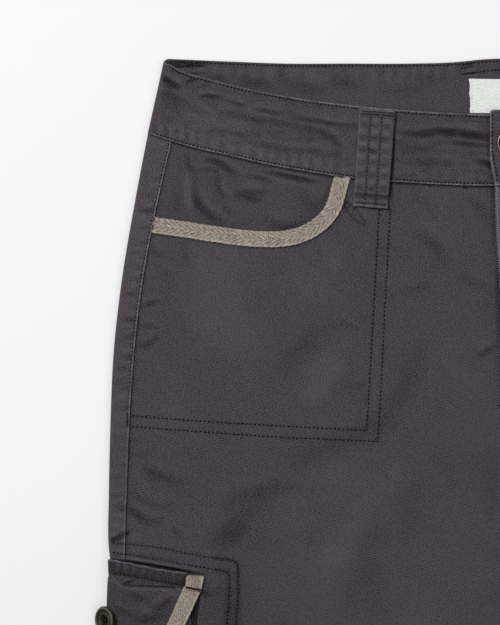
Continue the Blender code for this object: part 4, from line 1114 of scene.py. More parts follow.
def cargo_pocket(side):
    """A cargo pocket round the side fold: pocket_swell and its creases, added to a layer on the leg. Its
    mouth slants by a share of the distance from the fold, and sags by a bell where the pocket gapes."""
    depth = POCKET_BOTTOM - MOUTH_TOP
    rows = spread(depth, 2.3, first=0.12, knots=[(11, 9)])
    over = spread(50, 0.8, start=False)
    stage, row = np.meshgrid(wrapped(np.linspace(0, 1, 14)[:-1], 10, over), rows)
    share = np.clip(1 - stage, 0, 1) + np.clip(stage - 2, 0, 1)
    down = MOUTH_TOP + depth * row
    for _ in range(2):
        reach = read(POCKET_REACH, "down", down, "reach")
        down = MOUTH_TOP + MOUTH_SLOPE * share * reach * (1 - row) + depth * row
    sag = 0.5 * bell((share * reach - 27) / 12) + 0.25 * puckers(share * reach, 9.3, 0.4)
    down = down + sag * (1 - ease(row * depth / 16)) * (stage > 2) * ease(share * reach / 6)
    out, level = round_fold(side, stage, reach, reach, down, POCKET_PROUD)
    reach_in = share * reach
    below = down - MOUTH_TOP - MOUTH_SLOPE * reach_in
    outside = (stage > 1) + 0.0 * out
    swell = np.where(stage > 2, pocket_swell(reach_in, reach, down), 0.0)
    notch = -0.45 * bell((below - CASING - 1.6) / 1.3) * ease((stage - 1) * 4) * (stage <= 2)
    crease = creases(POCKET_CREASES, side, out, down) * (stage > 2)
    from_end = np.maximum((3 - stage) * reach, 0)
    edge = edge_drop(np.maximum(np.minimum(row * depth, POCKET_BOTTOM - down), 0)) * outside
    edge = np.minimum(edge, np.where(stage > 2, edge_drop(from_end), 0.0))
    # painted shadow under the lip of the pocket's body, over the casing's stitches
    lip_shadow = bell((below - pocket_lip(reach_in) - 0.4) / 0.55)
    lip_shadow = lip_shadow * ease((reach_in - 5) / 3) * ease((43 - reach_in) / 10)
    # edges paler from wear and painted highlight, creases painted darker and ridges paler, and the whole
    # pocket darker, as painted shade and panel tone
    fade = edge_wear_and_highlight(row * depth, out, down, 2.3) + np.clip(0.55 * crease, -0.6, 0.3) - 0.26 - 0.8 * lip_shadow
    # a paler band just below the lip
    lip = pocket_lip(reach_in) + 2.2 - 4.5 * bell(reach_in / 4)
    fade = fade + 0.4 * bell((below - lip) / 1.1)
    # painted light and shade of the casing's gathers; the casing darker along its sewn row and over its
    # width, and darker by the sewn end of the casing's tape
    casing = 0.4 * puckers(reach_in, 4.7, 0.9) * bell((below - 3.6) / 3)
    casing = casing - 0.3 * bell((below - CASING + 1) / 1.7)
    fade = fade + casing - 0.14 * ease((CASING - below) / 2)
    fade = fade - 0.55 * bell((reach_in - 46) / 4) * bell((below - 5) / 4)
    points = xyz(side, out, down, level)
    rows = cargo_rows()
    gaps = [np.where(stage > 1.3, row_gap(rows["pocket"], out, down), FAR), np.full_like(out, FAR)]
    weave = unrolled(points), points[..., 1]
    part = wall(side, points, swell + crease + notch, edge, TWILL, weave, fade * outside, gaps)
    cloth(side, "pocket", "cargo_pocket", [part])


def bellows(side):
    """The cargo pocket's pleated side, between its edge and the leg: cosine pleats across a strip. It is
    painted nearly black as the shade in that gap, with painted light on the pleats' crests.
    """
    across, down = np.meshgrid(np.linspace(0, 1, 29), 322.5 + 148 * spread(148, 1.7))
    edge = half_width(down) - FOLD - read(POCKET_REACH, "down", down, "reach")
    inner = np.minimum(190.2 + 0.125 * (down - 332), edge - 1.6)
    out = edge + 2.2 + (inner - edge - 2.2) * across
    pleats = 0.25 * np.cos(2 * math.pi * (4 * across + 0.1 * np.sin(down / 7)))
    level = front_level(side, out, down) + 0.75 + 0.35 * (1 - across)
    level = level + pleats * np.sin(math.pi * across) ** 0.5
    # painted shade, nearly black, with painted light along the pleats' crests
    fade = -1.3 + 0.9 * np.clip(4 * pleats, 0, 1) ** 8 + 0.05 * drift(out, down, 3, 71)
    points = xyz(side, out, down, level)
    weave = points[..., 0], points[..., 1]
    part = wall(side, points, relief(side, out, down), 0 * out, BELLOWS_CLOTH, weave, fade)
    made = piece(f"bellows_{SIDES[side]}", [part], washed_twill())


def tape(side, points, along, aside, width, finer=1.0):
    """A tape's wall: its selvedges are a little raised and paler, and its weave runs along it."""
    off_edge = np.maximum(width / 2 - np.abs(aside), 0)
    edge = edge_drop(off_edge, 0.5)
    selvedge = 0.12 * bell((off_edge - 0.8) / 0.5)
    uneven = 0.5 * drift(along, np.sign(aside) * 9, 1.1, 12) * bell(off_edge / 0.5)
    fade = (0.25 + 0.75 * (aside < 0)) * bell((off_edge - 0.75) / 0.4) + uneven
    return wall(side, points, selvedge, edge, TAPE_CLOTH, (aside * finer, along * finer), fade)


def mouth_tape_level(side, out, down):
    """The mouth tape's face: it follows less than half of the relief of the cloth under it."""
    return front_level(side, out, down) + LAY + TAPE_WALL + 0.4 * relief(side, out, down)


def pocket_tape(side):
    """The tape along the pocket's mouth. Its selvedges are scalloped by a cosine between stitches."""
    along, across = np.meshgrid(spread(SCOOP_LENGTH, 0.8), spread(TAPE_WIDTH, 0.5, first=0.12))
    aside = TAPE_WIDTH * (0.5 - across)
    scallop = 0.14 * np.cos(2 * math.pi * along * SCOOP_LENGTH / 3.3) * ease(np.abs(aside) / 5 * 4 - 3)
    out, down = scoop(along.ravel(), (aside + scallop * np.sign(aside)).ravel())
    out, down = out.reshape(along.shape), down.reshape(along.shape)
    out = np.minimum(out, side_seam(down) - GAP)
    down = np.maximum(down, band_seam(out) + GAP)
    points = xyz(side, out, down, mouth_tape_level(side, out, down))
    part = tape(side, points, along * SCOOP_LENGTH, aside, TAPE_WIDTH)
    cloth(side, "mouth_tape", "pocket_tape", [part], herringbone_tape())


STUB = table(
    "row outer_out outer_down inner_out inner_down",
    (0, 198.7, 319.5, 187.5, 320.3), (1, 199.5, 328.2, 189.5, 330.2),
)
STRAP = table(
    "row outer_out outer_down inner_out inner_down",
    (0, 200.3, 326.6, 189.2, 328.9), (0.34, 209.6, 347.6, 200.4, 352.8), (0.75, 220.2, 371.2, 210.6, 375.4),
    (1, 224.4, 387.2, 214.2, 389.4),
)


def strap_grid(side, ends, length, proud):
    """Points between a tape's two edges, whose ends stand in a table, lying on the pocket and leg."""
    rows, columns = spread(length, 0.9, first=0.12), spread(CARGO_TAPE_WIDTH, 0.5, first=0.12)
    row, across = np.meshgrid(rows, columns, indexing="ij")
    edges = {key: np.interp(row, ends["row"], ends[key]) for key in ends if key != "row"}
    out = edges["outer_out"] * (1 - across) + edges["inner_out"] * across
    down = edges["outer_down"] * (1 - across) + edges["inner_down"] * across
    corners = 1.1 * np.clip(np.abs(2 * across - 1) - 0.8, 0, 1) * 5 * (ends is STUB)
    down = down + corners * (1 - ease(row * length / 1.5))
    centre = half_width(down) - FOLD
    reach = read(POCKET_REACH, "down", down, "reach")
    swell = pocket_swell(np.clip(centre - out, 0, reach), reach, np.maximum(down, MOUTH_TOP + 22))
    on_pocket = 1 - ease((centre - out - reach - 1) / 8)
    raised = (POCKET_PROUD + np.maximum(swell, 0.8)) * on_pocket
    level = front_level(side, out, down) + raised + LAY + TAPE_WALL + proud(row, across)
    return xyz(side, out, down, level), row * length, CARGO_TAPE_WIDTH * (0.5 - across)


def stub_proud(row, across):
    """How far the sewn end stands up: a soft bell over the gathers, and a dip at its stitches."""
    return 0.9 - 0.3 * bell((row - 1) / 0.12) + 0.25 * bell((row - 0.4) / 0.3)


def strap_proud(row, across):
    """How far the strap stands up: it starts under the sewn end, and a sine twists it a little."""
    twist = 0.35 * np.sin(9 * row) * (across - 0.5)
    return 0.1 - 0.9 * bell(row / 0.02) + twist + 0.5 * bell((row - 0.2) / 0.12)


def cargo_tape(side):
    """The tape in two walls: the end that is sewn over the casing, and the strap that hangs from it."""
    runs = (STUB, STUB_LONG, stub_proud), (STRAP, STRAP_LONG, strap_proud)
    parts = [tape(side, *strap_grid(side, *run), CARGO_TAPE_WIDTH, 1.6) for run in runs]
    cloth(side, "casing_tape", "cargo_tape", parts, herringbone_tape())


def label():
    """The bare label inside the back band: flat, a little tilted, its ends sewn down and uneven."""
    across, row = np.meshgrid(spread(2 * LABEL_HALF, 0.8), spread(LABEL_TALL, 0.8))
    out = LABEL_HALF * (1 - 2 * across)
    down = LABEL_TOP + (LABEL_LOW - LABEL_TOP) * row + LABEL_TILT * out
    ends = np.minimum(across, 1 - across) * 2 * LABEL_HALF
    fray = 0.4 * drift(np.sign(out) * 7, down, 0.9, 3) * bell(ends / 0.5)
    out = out + np.sign(out) * (fray - 0.6 * (row - 0.5) * bell(ends / 6))
    level = np.full_like(out, BAND_WALL + GAP + 0.6) + 0.2 * drift(out, down, 10, 2)
    sewn = -0.25 * bell((ends - 1.5) / 0.5)
    fade = 0.3 * bell((ends - 0.3) / 0.5) - 0.35 * bell((ends - 1.5) / 0.4)
    points = xyz(LEFT, out, down, level)
    edge = edge_drop(np.minimum(ends, np.minimum(row, 1 - row) * LABEL_TALL), 0.3)
    weave = points[..., 0], points[..., 1]
    made = piece("woven_label", [wall(LEFT, points, sewn, edge, LABEL_CLOTH, weave, fade)], woven_label())
    settle(made, "label")


# ---------------------------------------------------------------- sewing


def along_path(points, pitch):
    """Places a pitch apart along a line of (out, down) points, with the line's direction there."""
    points = np.array(points, float)
    place = np.concatenate([[0], np.cumsum(np.linalg.norm(np.diff(points, axis=0), axis=1))])
    count = max(2, int(place[-1] / pitch))
    at = (np.arange(count) + 0.5) * place[-1] / count
    spots = np.stack([np.interp(at, place, points[:, k]) for k in (0, 1)], axis=1)
    ahead = np.stack([np.interp(at + 0.4, place, points[:, k]) for k in (0, 1)], axis=1)
    behind = np.stack([np.interp(at - 0.4, place, points[:, k]) for k in (0, 1)], axis=1)
    run = ahead - behind
    return spots, run / np.linalg.norm(run, axis=1, keepdims=True)


def stitches(side, rows, level, pitch=2.6, length=1.55, radius=0.46, slant=0.16, sink=0.34):
    """Threads of sewn rows, each given as a line of points or as (spots, directions). A thread is a
    tube round a line that arches as 1 - 4 t squared, so that both of its ends go into the cloth."""
    placed = [row if isinstance(row, tuple) else along_path(row, pitch) for row in rows]
    spots, runs = (np.concatenate([row[k] for row in placed]) for k in (0, 1))
    wander = np.random.default_rng(len(spots)).normal(0, 1, (3, len(spots)))
    turn = (slant + 0.1 * wander[0])[:, None]
    normal = np.stack([-runs[:, 1], runs[:, 0]], axis=1)
    runs, normal = runs * np.cos(turn) + normal * np.sin(turn), normal * np.cos(turn) - runs * np.sin(turn)
    t = np.array([-0.5, -0.3, 0.0, 0.3, 0.5])
    size = (length * (1 + 0.1 * wander[1]))[:, None, None]
    line = spots[:, None] + runs[:, None] * t[None, :, None] * size + 0.06 * wander[2][:, None, None]
    height = level(side, line[..., 0], line[..., 1]) + 0.16 - 4 * sink * t**2
    ring = np.arange(6) * math.pi / 3
    thick = radius * np.array([0.5, 0.95, 1.0, 0.95, 0.5])
    flat = line[:, :, None] + (normal[:, None, None] * (thick[None, :, None] * np.cos(ring))[..., None])
    up = height[..., None] + thick[None, :, None] * np.sin(ring)
    points = xyz(side, flat[..., 0], flat[..., 1], up)
    one = np.arange(30).reshape(5, 6)
    tube = np.stack([one[:-1], np.roll(one[:-1], -1, 1), np.roll(one[1:], -1, 1), one[1:]], axis=-1)
    tube = tube.reshape(-1, 4)
    caps = np.array([[0, 5, 2, 1], [5, 4, 3, 2], [24, 25, 26, 27], [24, 27, 28, 29]])
    faces = np.concatenate([tube[:, ::-1], caps[:, ::-1]])
    faces = (faces[None] + 30 * np.arange(len(spots))[:, None, None]).reshape(-1, 4)
    return {"points": points.reshape(-1, 3), "faces": faces if side == RIGHT else faces[:, ::-1]}


def sewing(name, side, *groups):
    """One object for the sewn rows of a piece. Each group is its rows, its face and its thread's sizes."""
    parts = [stitches(side, rows, level, **sizes) for rows, level, sizes in groups]
    piece(f"{name}_{SIDES[side]}", parts, spun_thread())


def leg_face(side, out, down):
    """The leg's face with its pressed edges, where its stitches lie."""
    return top(side, out, down) + strip_proud(out, down) + fly_proud(side, out, down)


def band_face(side, out, down):
    """The face of the band at the front."""
    return top(side, out, down) + BAND_PROUD


def inside_face(side, out, down):
    """The face of the band's inside, at the back."""
    return BAND_TWILL + inside_band(side, out, down)


def pocket_face(side, out, down):
    """The cargo pocket's face: its swell and creases over the leg."""
    reach = read(POCKET_REACH, "down", down, "reach")
    reach_in = half_width(down) - FOLD - out
    swell = pocket_swell(np.clip(reach_in, 0, reach), reach, down)
    return front_level(side, out, down) + POCKET_PROUD + swell + creases(POCKET_CREASES, side, out, down)


def tape_face(side, out, down):
    """A level just above the casing's tape, where its stitches lie."""
    return front_level(side, out, down) + POCKET_PROUD + LAY + TAPE_WALL + 2.0 + 0.0 * out


def loop_face(side, out, down):
    """The belt loop's face at a place, found from its splayed sides."""
    outer, inner = (read(LOOP_SIDES, "down", down, key) for key in ("outer", "inner"))
    across = (out - outer) / (inner - outer)
    row = (down - LOOP_TOP - LOOP_SLANT * across) / LOOP_LONG
    _, _, level, bulge = loop_place(side, across, row)
    return level + bulge


def bartack(start, end, pitch=0.7):
    """A zigzag of close stitches along a line: spots, and directions turned to and fro across it."""
    spots, runs = along_path([start, end], pitch)
    across = np.stack([-runs[:, 1], runs[:, 0]], axis=1)
    tilt = np.where(np.arange(len(spots)) % 2, 0.4, -0.4)[:, None]
    return spots, across * np.cos(tilt) + runs * np.sin(tilt)


def cargo_rows():
    """The double row that sews the cargo pocket's backing to the leg, and the rows on the pocket."""
    outer = np.vstack([
        [(244.8, 300.2), (234, 300.7), (222, 302.0), (209, 303.9), (199, 306.2), (184.5, 309.0)],
        rounded((173.5, 310.2), (166.6, 311.4), (166.6, 325), 5.0, 8),
        [(166.6, 334.7), (168, 350.9), (168.5, 400)],
        rounded((168.5, 470), (168.5, 484), (185, 484), 6.0, 8), [(236, 484)],
    ])
    inner = np.vstack([
        [(244.8, 305.6), (223.3, 309.4), (194.2, 314.3), (180, 316.6)],
        rounded((178.5, 316.9), (171.9, 317.9), (172.1, 330), 4.0, 8),
        [(172.4, 339.5), (173.8, 350.9), (174.2, 400)],
        rounded((174.2, 466), (174.2, 478), (186, 478), 5.0, 8), [(234, 478)],
    ])
    casing = [(244.6, 318.9), (236.0, 319.7), (228.6, 321.1), (210.8, 324.4), (200.2, 326.6)]
    return {"outer": [outer], "inner": [inner], "pocket": [casing, [(243, 471.5), (194.5, 471.5)]]}


def leg_rows(side):
    """Rows on a leg: the pocket bag's, cargo pocket's and hem's double rows, the fly's, and the
    strip's single row, which ends at the bag's lower row."""
    cargo = cargo_rows()
    inner = cargo["inner"] + [
        [(79.1, 92.5), (82.3, 150), (86.0, 215), (87.0, 230.3), (140, 227.6), (190, 224.6), (232.9, 221.3)],
        [(inner_edge(LEFT, 696.0) + 1, 696.0), (side_seam(696.0), 696.0)],
    ]
    outer = cargo["outer"] + [
        [(72.2, 92.5), (75.4, 150), (79.0, 222), (80.0, 237.2), (140, 234.6), (190, 231.2), (233.2, 227.9)],
        [(inner_edge(LEFT, 702.0) + 1, 702.0), (side_seam(702.0), 702.0)],
    ]
    strip = np.arange(52.0, 229.0, 3.0)
    strip = [np.stack([side_seam(strip) + 1.6, strip], axis=1)]
    fly = []
    if side == LEFT:
        edge = np.arange(80.0, 228.0, 3.0)
        fly = [np.stack([inner_edge(LEFT, edge) + aside, edge + 0.4 * aside], axis=1) for aside in (0.5, 1.9)]
        curve = rounded((31.0, 80.0), (31.0, 196.0), (0.5, 218.0), 24.0)
        inner.append(curve)
        outer.append(curve - [6.0, 2.4])
    else:
        inner.append([(inner_edge(RIGHT, 240.0) + 1.6, 240.0), (1.7, 262.0)])
    return {"inner": inner, "outer": outer, "strip": strip + cargo["inner"], "fly": fly}


def band_rows(side):
    """Rows just inside the band's edges, and along the top of its inside with the ragged ends there."""
    front = np.arange(208.0, -8.0 if side == LEFT else UNDERLAP_BAND + 1, -3.0)
    low = np.arange(218.0, -6.0 if side == LEFT else UNDERLAP_BAND + 1, -3.0)
    inside = np.arange(206.0, 0.5, -3.0)
    rows = {
        "front": [
            np.stack([front, front_waist(side, front) + 1.6], axis=1),
            np.stack([low, band_seam(low) - 1.5], axis=1),
        ],
        "inside": [
            np.stack([inside, back_waist(inside) + 1.5], axis=1), [(27.0, 9.2), (15.0, 7.6), (0.8, 6.2)],
        ],
    }
    if side == LEFT:
        rows["front"].append([(-9.1, 34.0), (-9.1, 58.0), (-5.9, 76.0)])
    return rows


def leg_sewing(side):
    """The rows on the leg, and the bartack where the side seam's row ends."""
    rows = leg_rows(side)
    tack = bartack((side_seam(219.5) + 1.4, 219.5), (side_seam(228.0) + 1.4, 228.0))
    patch = [bartack((75.7, 92.6), (82.4, 92.6)), bartack((27.2, 79.7), (24.8, 79.9), 0.6)]
    close = {"pitch": 1.4, "length": 0.7, "radius": 0.3, "slant": 0.3}
    close = [(rows["fly"], leg_face, close)] if rows["fly"] else []
    sewing(
        "leg_stitches", side, *close, (rows["inner"][1:] + rows["outer"][1:], leg_face, {"radius": 0.42}),
        (rows["inner"][:1] + rows["outer"][:1], leg_face, {"pitch": 2.45, "length": 1.4, "radius": 0.4}),
        (rows["strip"][:1], leg_face, {"pitch": 2.4, "radius": 0.3}),
        ([tack] + patch, leg_face, {"length": 1.5, "radius": 0.24}),
    )


def pocket_sewing(side):
    """The row under the casing and along the pocket's foot, and the stitches that hold the tape."""
    rows = cargo_rows()["pocket"]
    hold = [bartack((198.9, 327.0), (189.7, 328.8), 0.8), [(198.9, 327.1), (189.7, 328.9)]]
    stray = [(
        [(187.0, 322.4), (187.2, 324.8), (187.8, 326.6), (188.6, 328.4), (189.6, 331.0)],
        [(0.9, -0.4), (0.8, 0.6), (0.6, -0.8), (0.5, 0.8), (0.3, 0.9)],
    )]
    stray = [tuple(np.array(part, float) for part in item) for item in stray]
    sewing(
        "pocket_stitches", side, (rows, pocket_face, {"pitch": 2.1, "length": 1.4, "radius": 0.4}),
        (hold, tape_face, {"pitch": 1.5, "length": 1.3, "radius": 0.42, "slant": 0.0}),
        (stray, tape_face, {"length": 1.8, "radius": 0.26}),
    )


def band_sewing(side):
    """The band's rows, and the tacks on its inside near the centre back and at the side."""
    rows = band_rows(side)
    ends = ((20.5, 2.6), (28.6, 4.0)), ((20.5, 4.2), (28.6, 5.6)), ((19.0, 8.2), (27.0, 9.3))
    tacks = [bartack(*pair) for pair in ends]
    ragged = [bartack((206.0, 4.4), (187.0, 3.9), 1.1), bartack((203.0, 5.2), (190.0, 4.6), 1.7)]
    sewing(
        "band_stitches", side, (rows["front"], band_face, {"pitch": 2.35, "slant": 0.3, "length": 1.5}),
        (rows["inside"], inside_face, {"pitch": 2.35, "slant": 0.1, "length": 1.45}),
        (tacks, inside_face, {"length": 1.3, "radius": 0.24}),
        (ragged, inside_face, {"length": 1.5, "radius": 0.32, "slant": 0.6}),
    )


def loop_sewing(side):
    """Two rows down a belt loop, and bartacks across its ends."""
    at = np.linspace(0.07, 0.93, 30)
    rows = [np.stack(loop_place(side, np.full_like(at, share), at)[:2], axis=1) for share in LOOP_CHANNELS]
    tacks = []
    for row in (0.028, 0.055, 0.955):
        out, down = loop_place(side, np.array([0.06, 0.94]), np.full(2, row))[:2]
        tacks.append(bartack((out[0], down[0]), (out[1], down[1])))
    sewing(
        "loop_stitches", side,
        (rows, loop_face, {"pitch": 2.3, "slant": 0.05, "length": 1.3, "radius": 0.27}),
        (tacks, loop_face, {"length": 1.3, "radius": 0.19, "sink": 0.36}),
    )


# ---------------------------------------------------------------- buttons

BUTTON_PROFILE = table(  # from the middle of the face to the middle of the base
    "share height",
    (0, 1.5), (0.12, 1.5), (0.26, 1.5), (0.38, 1.62), (0.44, 1.95), (0.47, 2.5), (0.51, 2.66), (0.55, 2.5),
    (0.58, 2.3), (0.66, 2.26), (0.74, 2.3), (0.78, 2.55), (0.82, 3), (0.87, 3.18), (0.93, 3), (0.97, 2.6),
    (0.985, 2), (0.96, 1.3), (0.9, 0.7), (0.78, 0.3), (0.6, 0.05), (0.3, 0), (0, 0),
)


def button(name, node, radius, place, tilt):
    """A cast button: its profile turned about its axis, with four sewing holes pressed into the dish,
    then tilted about Y and moved to its place."""
    t = np.linspace(0, 1, len(BUTTON_PROFILE["share"]))
    fine = np.linspace(0, 1, BUTTON_STEPS)
    share, height = (np.interp(fine, t, BUTTON_PROFILE[key]) for key in ("share", "height"))
    kernel = np.array([1, 2, 1]) / 4
    for _ in range(2):
        share[1:-1], height[1:-1] = np.convolve(share, kernel, "valid"), np.convolve(height, kernel, "valid")
    angle = np.linspace(0, 2 * math.pi, BUTTON_SIDES, endpoint=False)
    r, z = np.maximum(share, 1e-3)[:, None] * radius, height[:, None] + 0 * angle
    x, y = r * np.cos(angle), r * np.sin(angle)
    rub = bell((share - 0.87) / 0.06) * 0.55 + bell((share - 0.51) / 0.035) * 0.45 - 0.35 * bell(share / 0.3)
    rub = np.where(fine < 0.75, rub, -0.2)[:, None] + 0 * angle
    upper = (fine < 0.5)[:, None]
    for turn in np.radians((45, 135, 225, 315)):
        hole = np.hypot(x - HOLE_RING * math.cos(turn), y - HOLE_RING * math.sin(turn))
        depth = ease((HOLE_ROUND - hole) / 0.45) * upper
        z, rub = z - HOLE_DEEP * depth, rub - 0.6 * depth
    a = math.radians(tilt)
    points = np.stack([x * math.cos(a) + z * math.sin(a), y, z * math.cos(a) - x * math.sin(a)], axis=-1)
    points = points.reshape(-1, 3) + np.array([place[0], MIDDLE - place[1], place[2]])
    number = np.arange(len(fine) * BUTTON_SIDES).reshape(-1, BUTTON_SIDES)
    ahead = np.roll(number, -1, axis=1)
    faces = np.stack([number[:-1], number[1:], ahead[1:], ahead[:-1]], axis=-1).reshape(-1, 4)
    points = np.vstack([points, points[:BUTTON_SIDES].mean(axis=0), points[-BUTTON_SIDES:].mean(axis=0)])
    last = len(points) - 2
    top = np.stack([np.full(BUTTON_SIDES, last), number[0], ahead[0]], axis=1)
    foot = np.stack([np.full(BUTTON_SIDES, last + 1), ahead[-1], number[-1]], axis=1)
    values = np.concatenate([rub.ravel(), rub[0].mean(keepdims=True), rub[-1].mean(keepdims=True)])
    part = {"points": points, "faces": faces, "caps": top.tolist() + foot.tolist(), "fade": values}
    settle(piece(name, [part], antique_brass()), node)


def cargo_button(side):
    """The button on a side fold, tilted outwards and seated on the pocket's cloth."""
    tilt = math.radians(BUTTON_TILT)
    seat = FOLD + POCKET_PROUD + LAY
    centre = float(half_width(np.array(BUTTON_DOWN))) - FOLD
    out, level = centre + seat * math.sin(tilt), POCKET_PROUD + FOLD + seat * math.cos(tilt)
    button(
        f"side_button_{SIDES[side]}", f"cargo_button_{SIDES[side]}", BUTTON_RADIUS,
        (side * out, BUTTON_DOWN, level), side * BUTTON_TILT,
    )


def waist_button():
    """The button of the fly, seated on the band."""
    level = float(front_level(LEFT, np.array(WAIST_BUTTON_X), np.array(WAIST_BUTTON_DOWN))) + LAY + BAND_PROUD
    place = (WAIST_BUTTON_X, WAIST_BUTTON_DOWN, level)
    button("fly_button", "waist_button", WAIST_BUTTON_RADIUS, place, 0)


# ---------------------------------------------------------------- stage


def stage():
    """A pale floor, a large soft light from the upper left, a fill, and the camera straight above."""
    looks = bpy.context.scene.trousers_looks
    mesh = bpy.data.meshes.new("floor")
    corners = [(x * FLOOR_HALF, y * FLOOR_HALF, FLOOR_LEVEL) for x, y in ((-1, -1), (1, -1), (1, 1), (-1, 1))]
    mesh.from_pydata(corners, [], [(0, 1, 2, 3)])
    made, _, shader = blank("matt_white_card")
    shader.inputs["Base Color"].default_value = (0.87, 0.87, 0.87, 1)
    shader.inputs["Roughness"].default_value = 1.0
    shader.inputs["Specular IOR Level"].default_value = 0.0
    mesh.materials.append(made)
    floor = bpy.data.objects.new("floor", mesh)
    bpy.context.scene.collection.objects.link(floor)

    world = bpy.data.worlds.new("studio")
    world.use_nodes = True
    world.node_tree.nodes["Background"].inputs["Color"].default_value = (1, 1, 1, 1)
    world.node_tree.nodes["Background"].inputs["Strength"].default_value = looks.fill
    bpy.context.scene.world = world

    centre = np.array([-0.16, 0.20, 0.0])
    lamps = ("key", (-0.36, 0.36, 0.87), 1.0, looks.key), ("soft", (0.9, -0.5, 1.6), 2.2, looks.key * 0.2)
    for name, direction, size, power in lamps:
        data = bpy.data.lights.new(name, "AREA")
        data.shape, data.size, data.energy = "DISK", size, power
        lamp = bpy.data.objects.new(name, data)
        away = np.array(direction) / np.linalg.norm(direction)
        lamp.location = centre + away * LAMP_AWAY
        bpy.context.scene.collection.objects.link(lamp)
        lamp.rotation_euler = Vector(-away).to_track_quat("-Z", "Y").to_euler()

    data = bpy.data.cameras.new("camera")
    data.lens, data.sensor_width = LENS, SENSOR
    data.clip_start, data.clip_end = 0.1, 30.0
    camera = bpy.data.objects.new("camera", data)
    distance = PHOTO_SPAN / 2 / (SENSOR / 2 / LENS)
    camera.location = (CAMERA_ACROSS, CAMERA_UP, distance + CLOTH_LEVEL)
    bpy.context.scene.collection.objects.link(camera)
    bpy.context.scene.camera = camera
    bpy.context.scene.view_settings.view_transform = "Standard"


# ---------------------------------------------------------------- properties, operators and panel


class TrousersSizes(PropertyGroup):
    wale_pitch: FloatProperty(
        name="Wale pitch", description="Distance between the twill lines", default=0.00142, unit="LENGTH"
    )
    rib_pitch: FloatProperty(
        name="Rib pitch", description="Distance between the tape's ribs", default=0.0039, unit="LENGTH"
    )
    row_width: FloatProperty(
        name="Row width", description="Half the width of a drawn-in sewn row, in mm", default=1.0
    )


class TrousersLooks(PropertyGroup):
    twill: FloatVectorProperty(
        name="Twill", description="Colour of the washed twill", subtype="COLOR", default=linear("#403b40")
    )
    tape: FloatVectorProperty(
        name="Tape", description="Colour of the herringbone tape", subtype="COLOR", default=linear("#857b72")
    )
    thread: FloatVectorProperty(
        name="Thread", description="Colour of the sewing thread", subtype="COLOR", default=linear("#100e10")
    )
    label: FloatVectorProperty(
        name="Label", description="Colour of the label", subtype="COLOR", default=linear("#e2e5e3")
    )
    brass: FloatVectorProperty(
        name="Brass", description="Colour of the blackened brass", subtype="COLOR", default=linear("#4d4236")
    )
    key: FloatProperty(name="Key light", description="Power of the main light", default=56.9, unit="POWER")
    fill: FloatProperty(name="Fill light", description="Strength of the light from all round", default=0.2)


def both(make):
    """Makes a piece on each side."""
    for side in (RIGHT, LEFT):
        make(side)
    return {"FINISHED"}


class TROUSERS_OT_legs(Operator):
    """Adds the back and front legs, which meet at the side seams"""
    bl_idname, bl_label = "trousers.legs", "Legs"

    def execute(self, context):
        both(back_panel)
        return both(front_panel)


class TROUSERS_OT_facings(Operator):
    """Adds the facings inside the pocket mouths"""
    bl_idname, bl_label = "trousers.facings", "Pocket facings"

    def execute(self, context):
        return both(pocket_facing)


class TROUSERS_OT_band(Operator):
    """Adds both halves of the shaped waistband"""
    bl_idname, bl_label = "trousers.band", "Waistband"

    def execute(self, context):
        return both(waistband)


class TROUSERS_OT_loops(Operator):
    """Adds the belt loops"""
    bl_idname, bl_label = "trousers.loops", "Belt loops"

    def execute(self, context):
        return both(belt_loop)


class TROUSERS_OT_pockets(Operator):
    """Adds the cargo pockets round the side folds"""
    bl_idname, bl_label = "trousers.pockets", "Cargo pockets"

    def execute(self, context):
        both(cargo_pocket)
        return both(bellows)


class TROUSERS_OT_tapes(Operator):
    """Adds the herringbone tapes of the pocket mouths and casings"""
    bl_idname, bl_label = "trousers.tapes", "Tapes"

    def execute(self, context):
        both(pocket_tape)
        return both(cargo_tape)


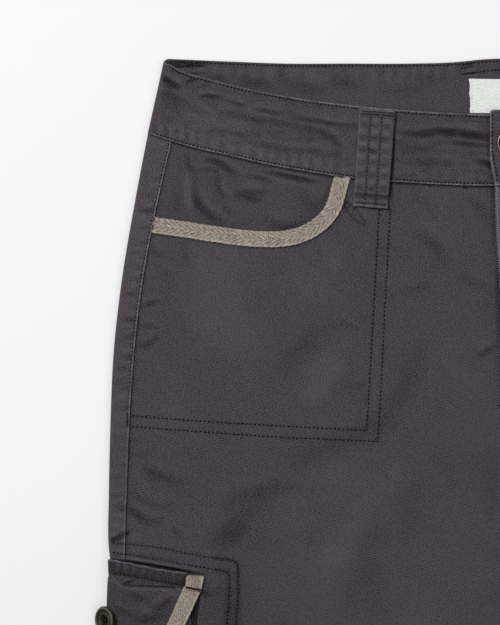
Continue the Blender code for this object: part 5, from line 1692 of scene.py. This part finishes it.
class TROUSERS_OT_label(Operator):
    """Adds the bare label inside the back band"""
    bl_idname, bl_label = "trousers.label", "Label"

    def execute(self, context):
        label()
        return {"FINISHED"}


class TROUSERS_OT_sewing(Operator):
    """Adds the stitch rows and bartacks"""
    bl_idname, bl_label = "trousers.sewing", "Sewing"

    def execute(self, context):
        for make in (leg_sewing, pocket_sewing, band_sewing, loop_sewing):
            both(make)
        return {"FINISHED"}


class TROUSERS_OT_buttons(Operator):
    """Adds the brass buttons"""
    bl_idname, bl_label = "trousers.buttons", "Buttons"

    def execute(self, context):
        waist_button()
        return both(cargo_button)


class TROUSERS_OT_stage(Operator):
    """Adds the floor, lights and camera"""
    bl_idname, bl_label = "trousers.stage", "Stage"

    def execute(self, context):
        stage()
        return {"FINISHED"}


OPERATORS = (
    TROUSERS_OT_legs, TROUSERS_OT_facings, TROUSERS_OT_band, TROUSERS_OT_loops, TROUSERS_OT_pockets,
    TROUSERS_OT_tapes, TROUSERS_OT_label, TROUSERS_OT_sewing, TROUSERS_OT_buttons, TROUSERS_OT_stage,
)


class TROUSERS_PT_panel(Panel):
    bl_label = "Trousers"
    bl_space_type = "VIEW_3D"
    bl_region_type = "UI"
    bl_category = "Trousers"

    def draw(self, context):
        scene = context.scene
        for group in (scene.trousers_sizes, scene.trousers_looks):
            for name in group.bl_rna.properties.keys():
                if name not in {"rna_type", "name"}:
                    self.layout.prop(group, name)
        for operator in OPERATORS:
            self.layout.operator(operator.bl_idname)


CLASSES = (TrousersSizes, TrousersLooks, *OPERATORS, TROUSERS_PT_panel)


def register():
    for kind in CLASSES:
        bpy.utils.register_class(kind)
    bpy.types.Scene.trousers_sizes = PointerProperty(type=TrousersSizes)
    bpy.types.Scene.trousers_looks = PointerProperty(type=TrousersLooks)


def unregister():
    del bpy.types.Scene.trousers_looks
    del bpy.types.Scene.trousers_sizes
    for kind in reversed(CLASSES):
        bpy.utils.unregister_class(kind)


def main():
    register()
    for operator in OPERATORS:
        group, name = operator.bl_idname.split(".")
        getattr(getattr(bpy.ops, group), name)()


if __name__ == "__main__":
    main()
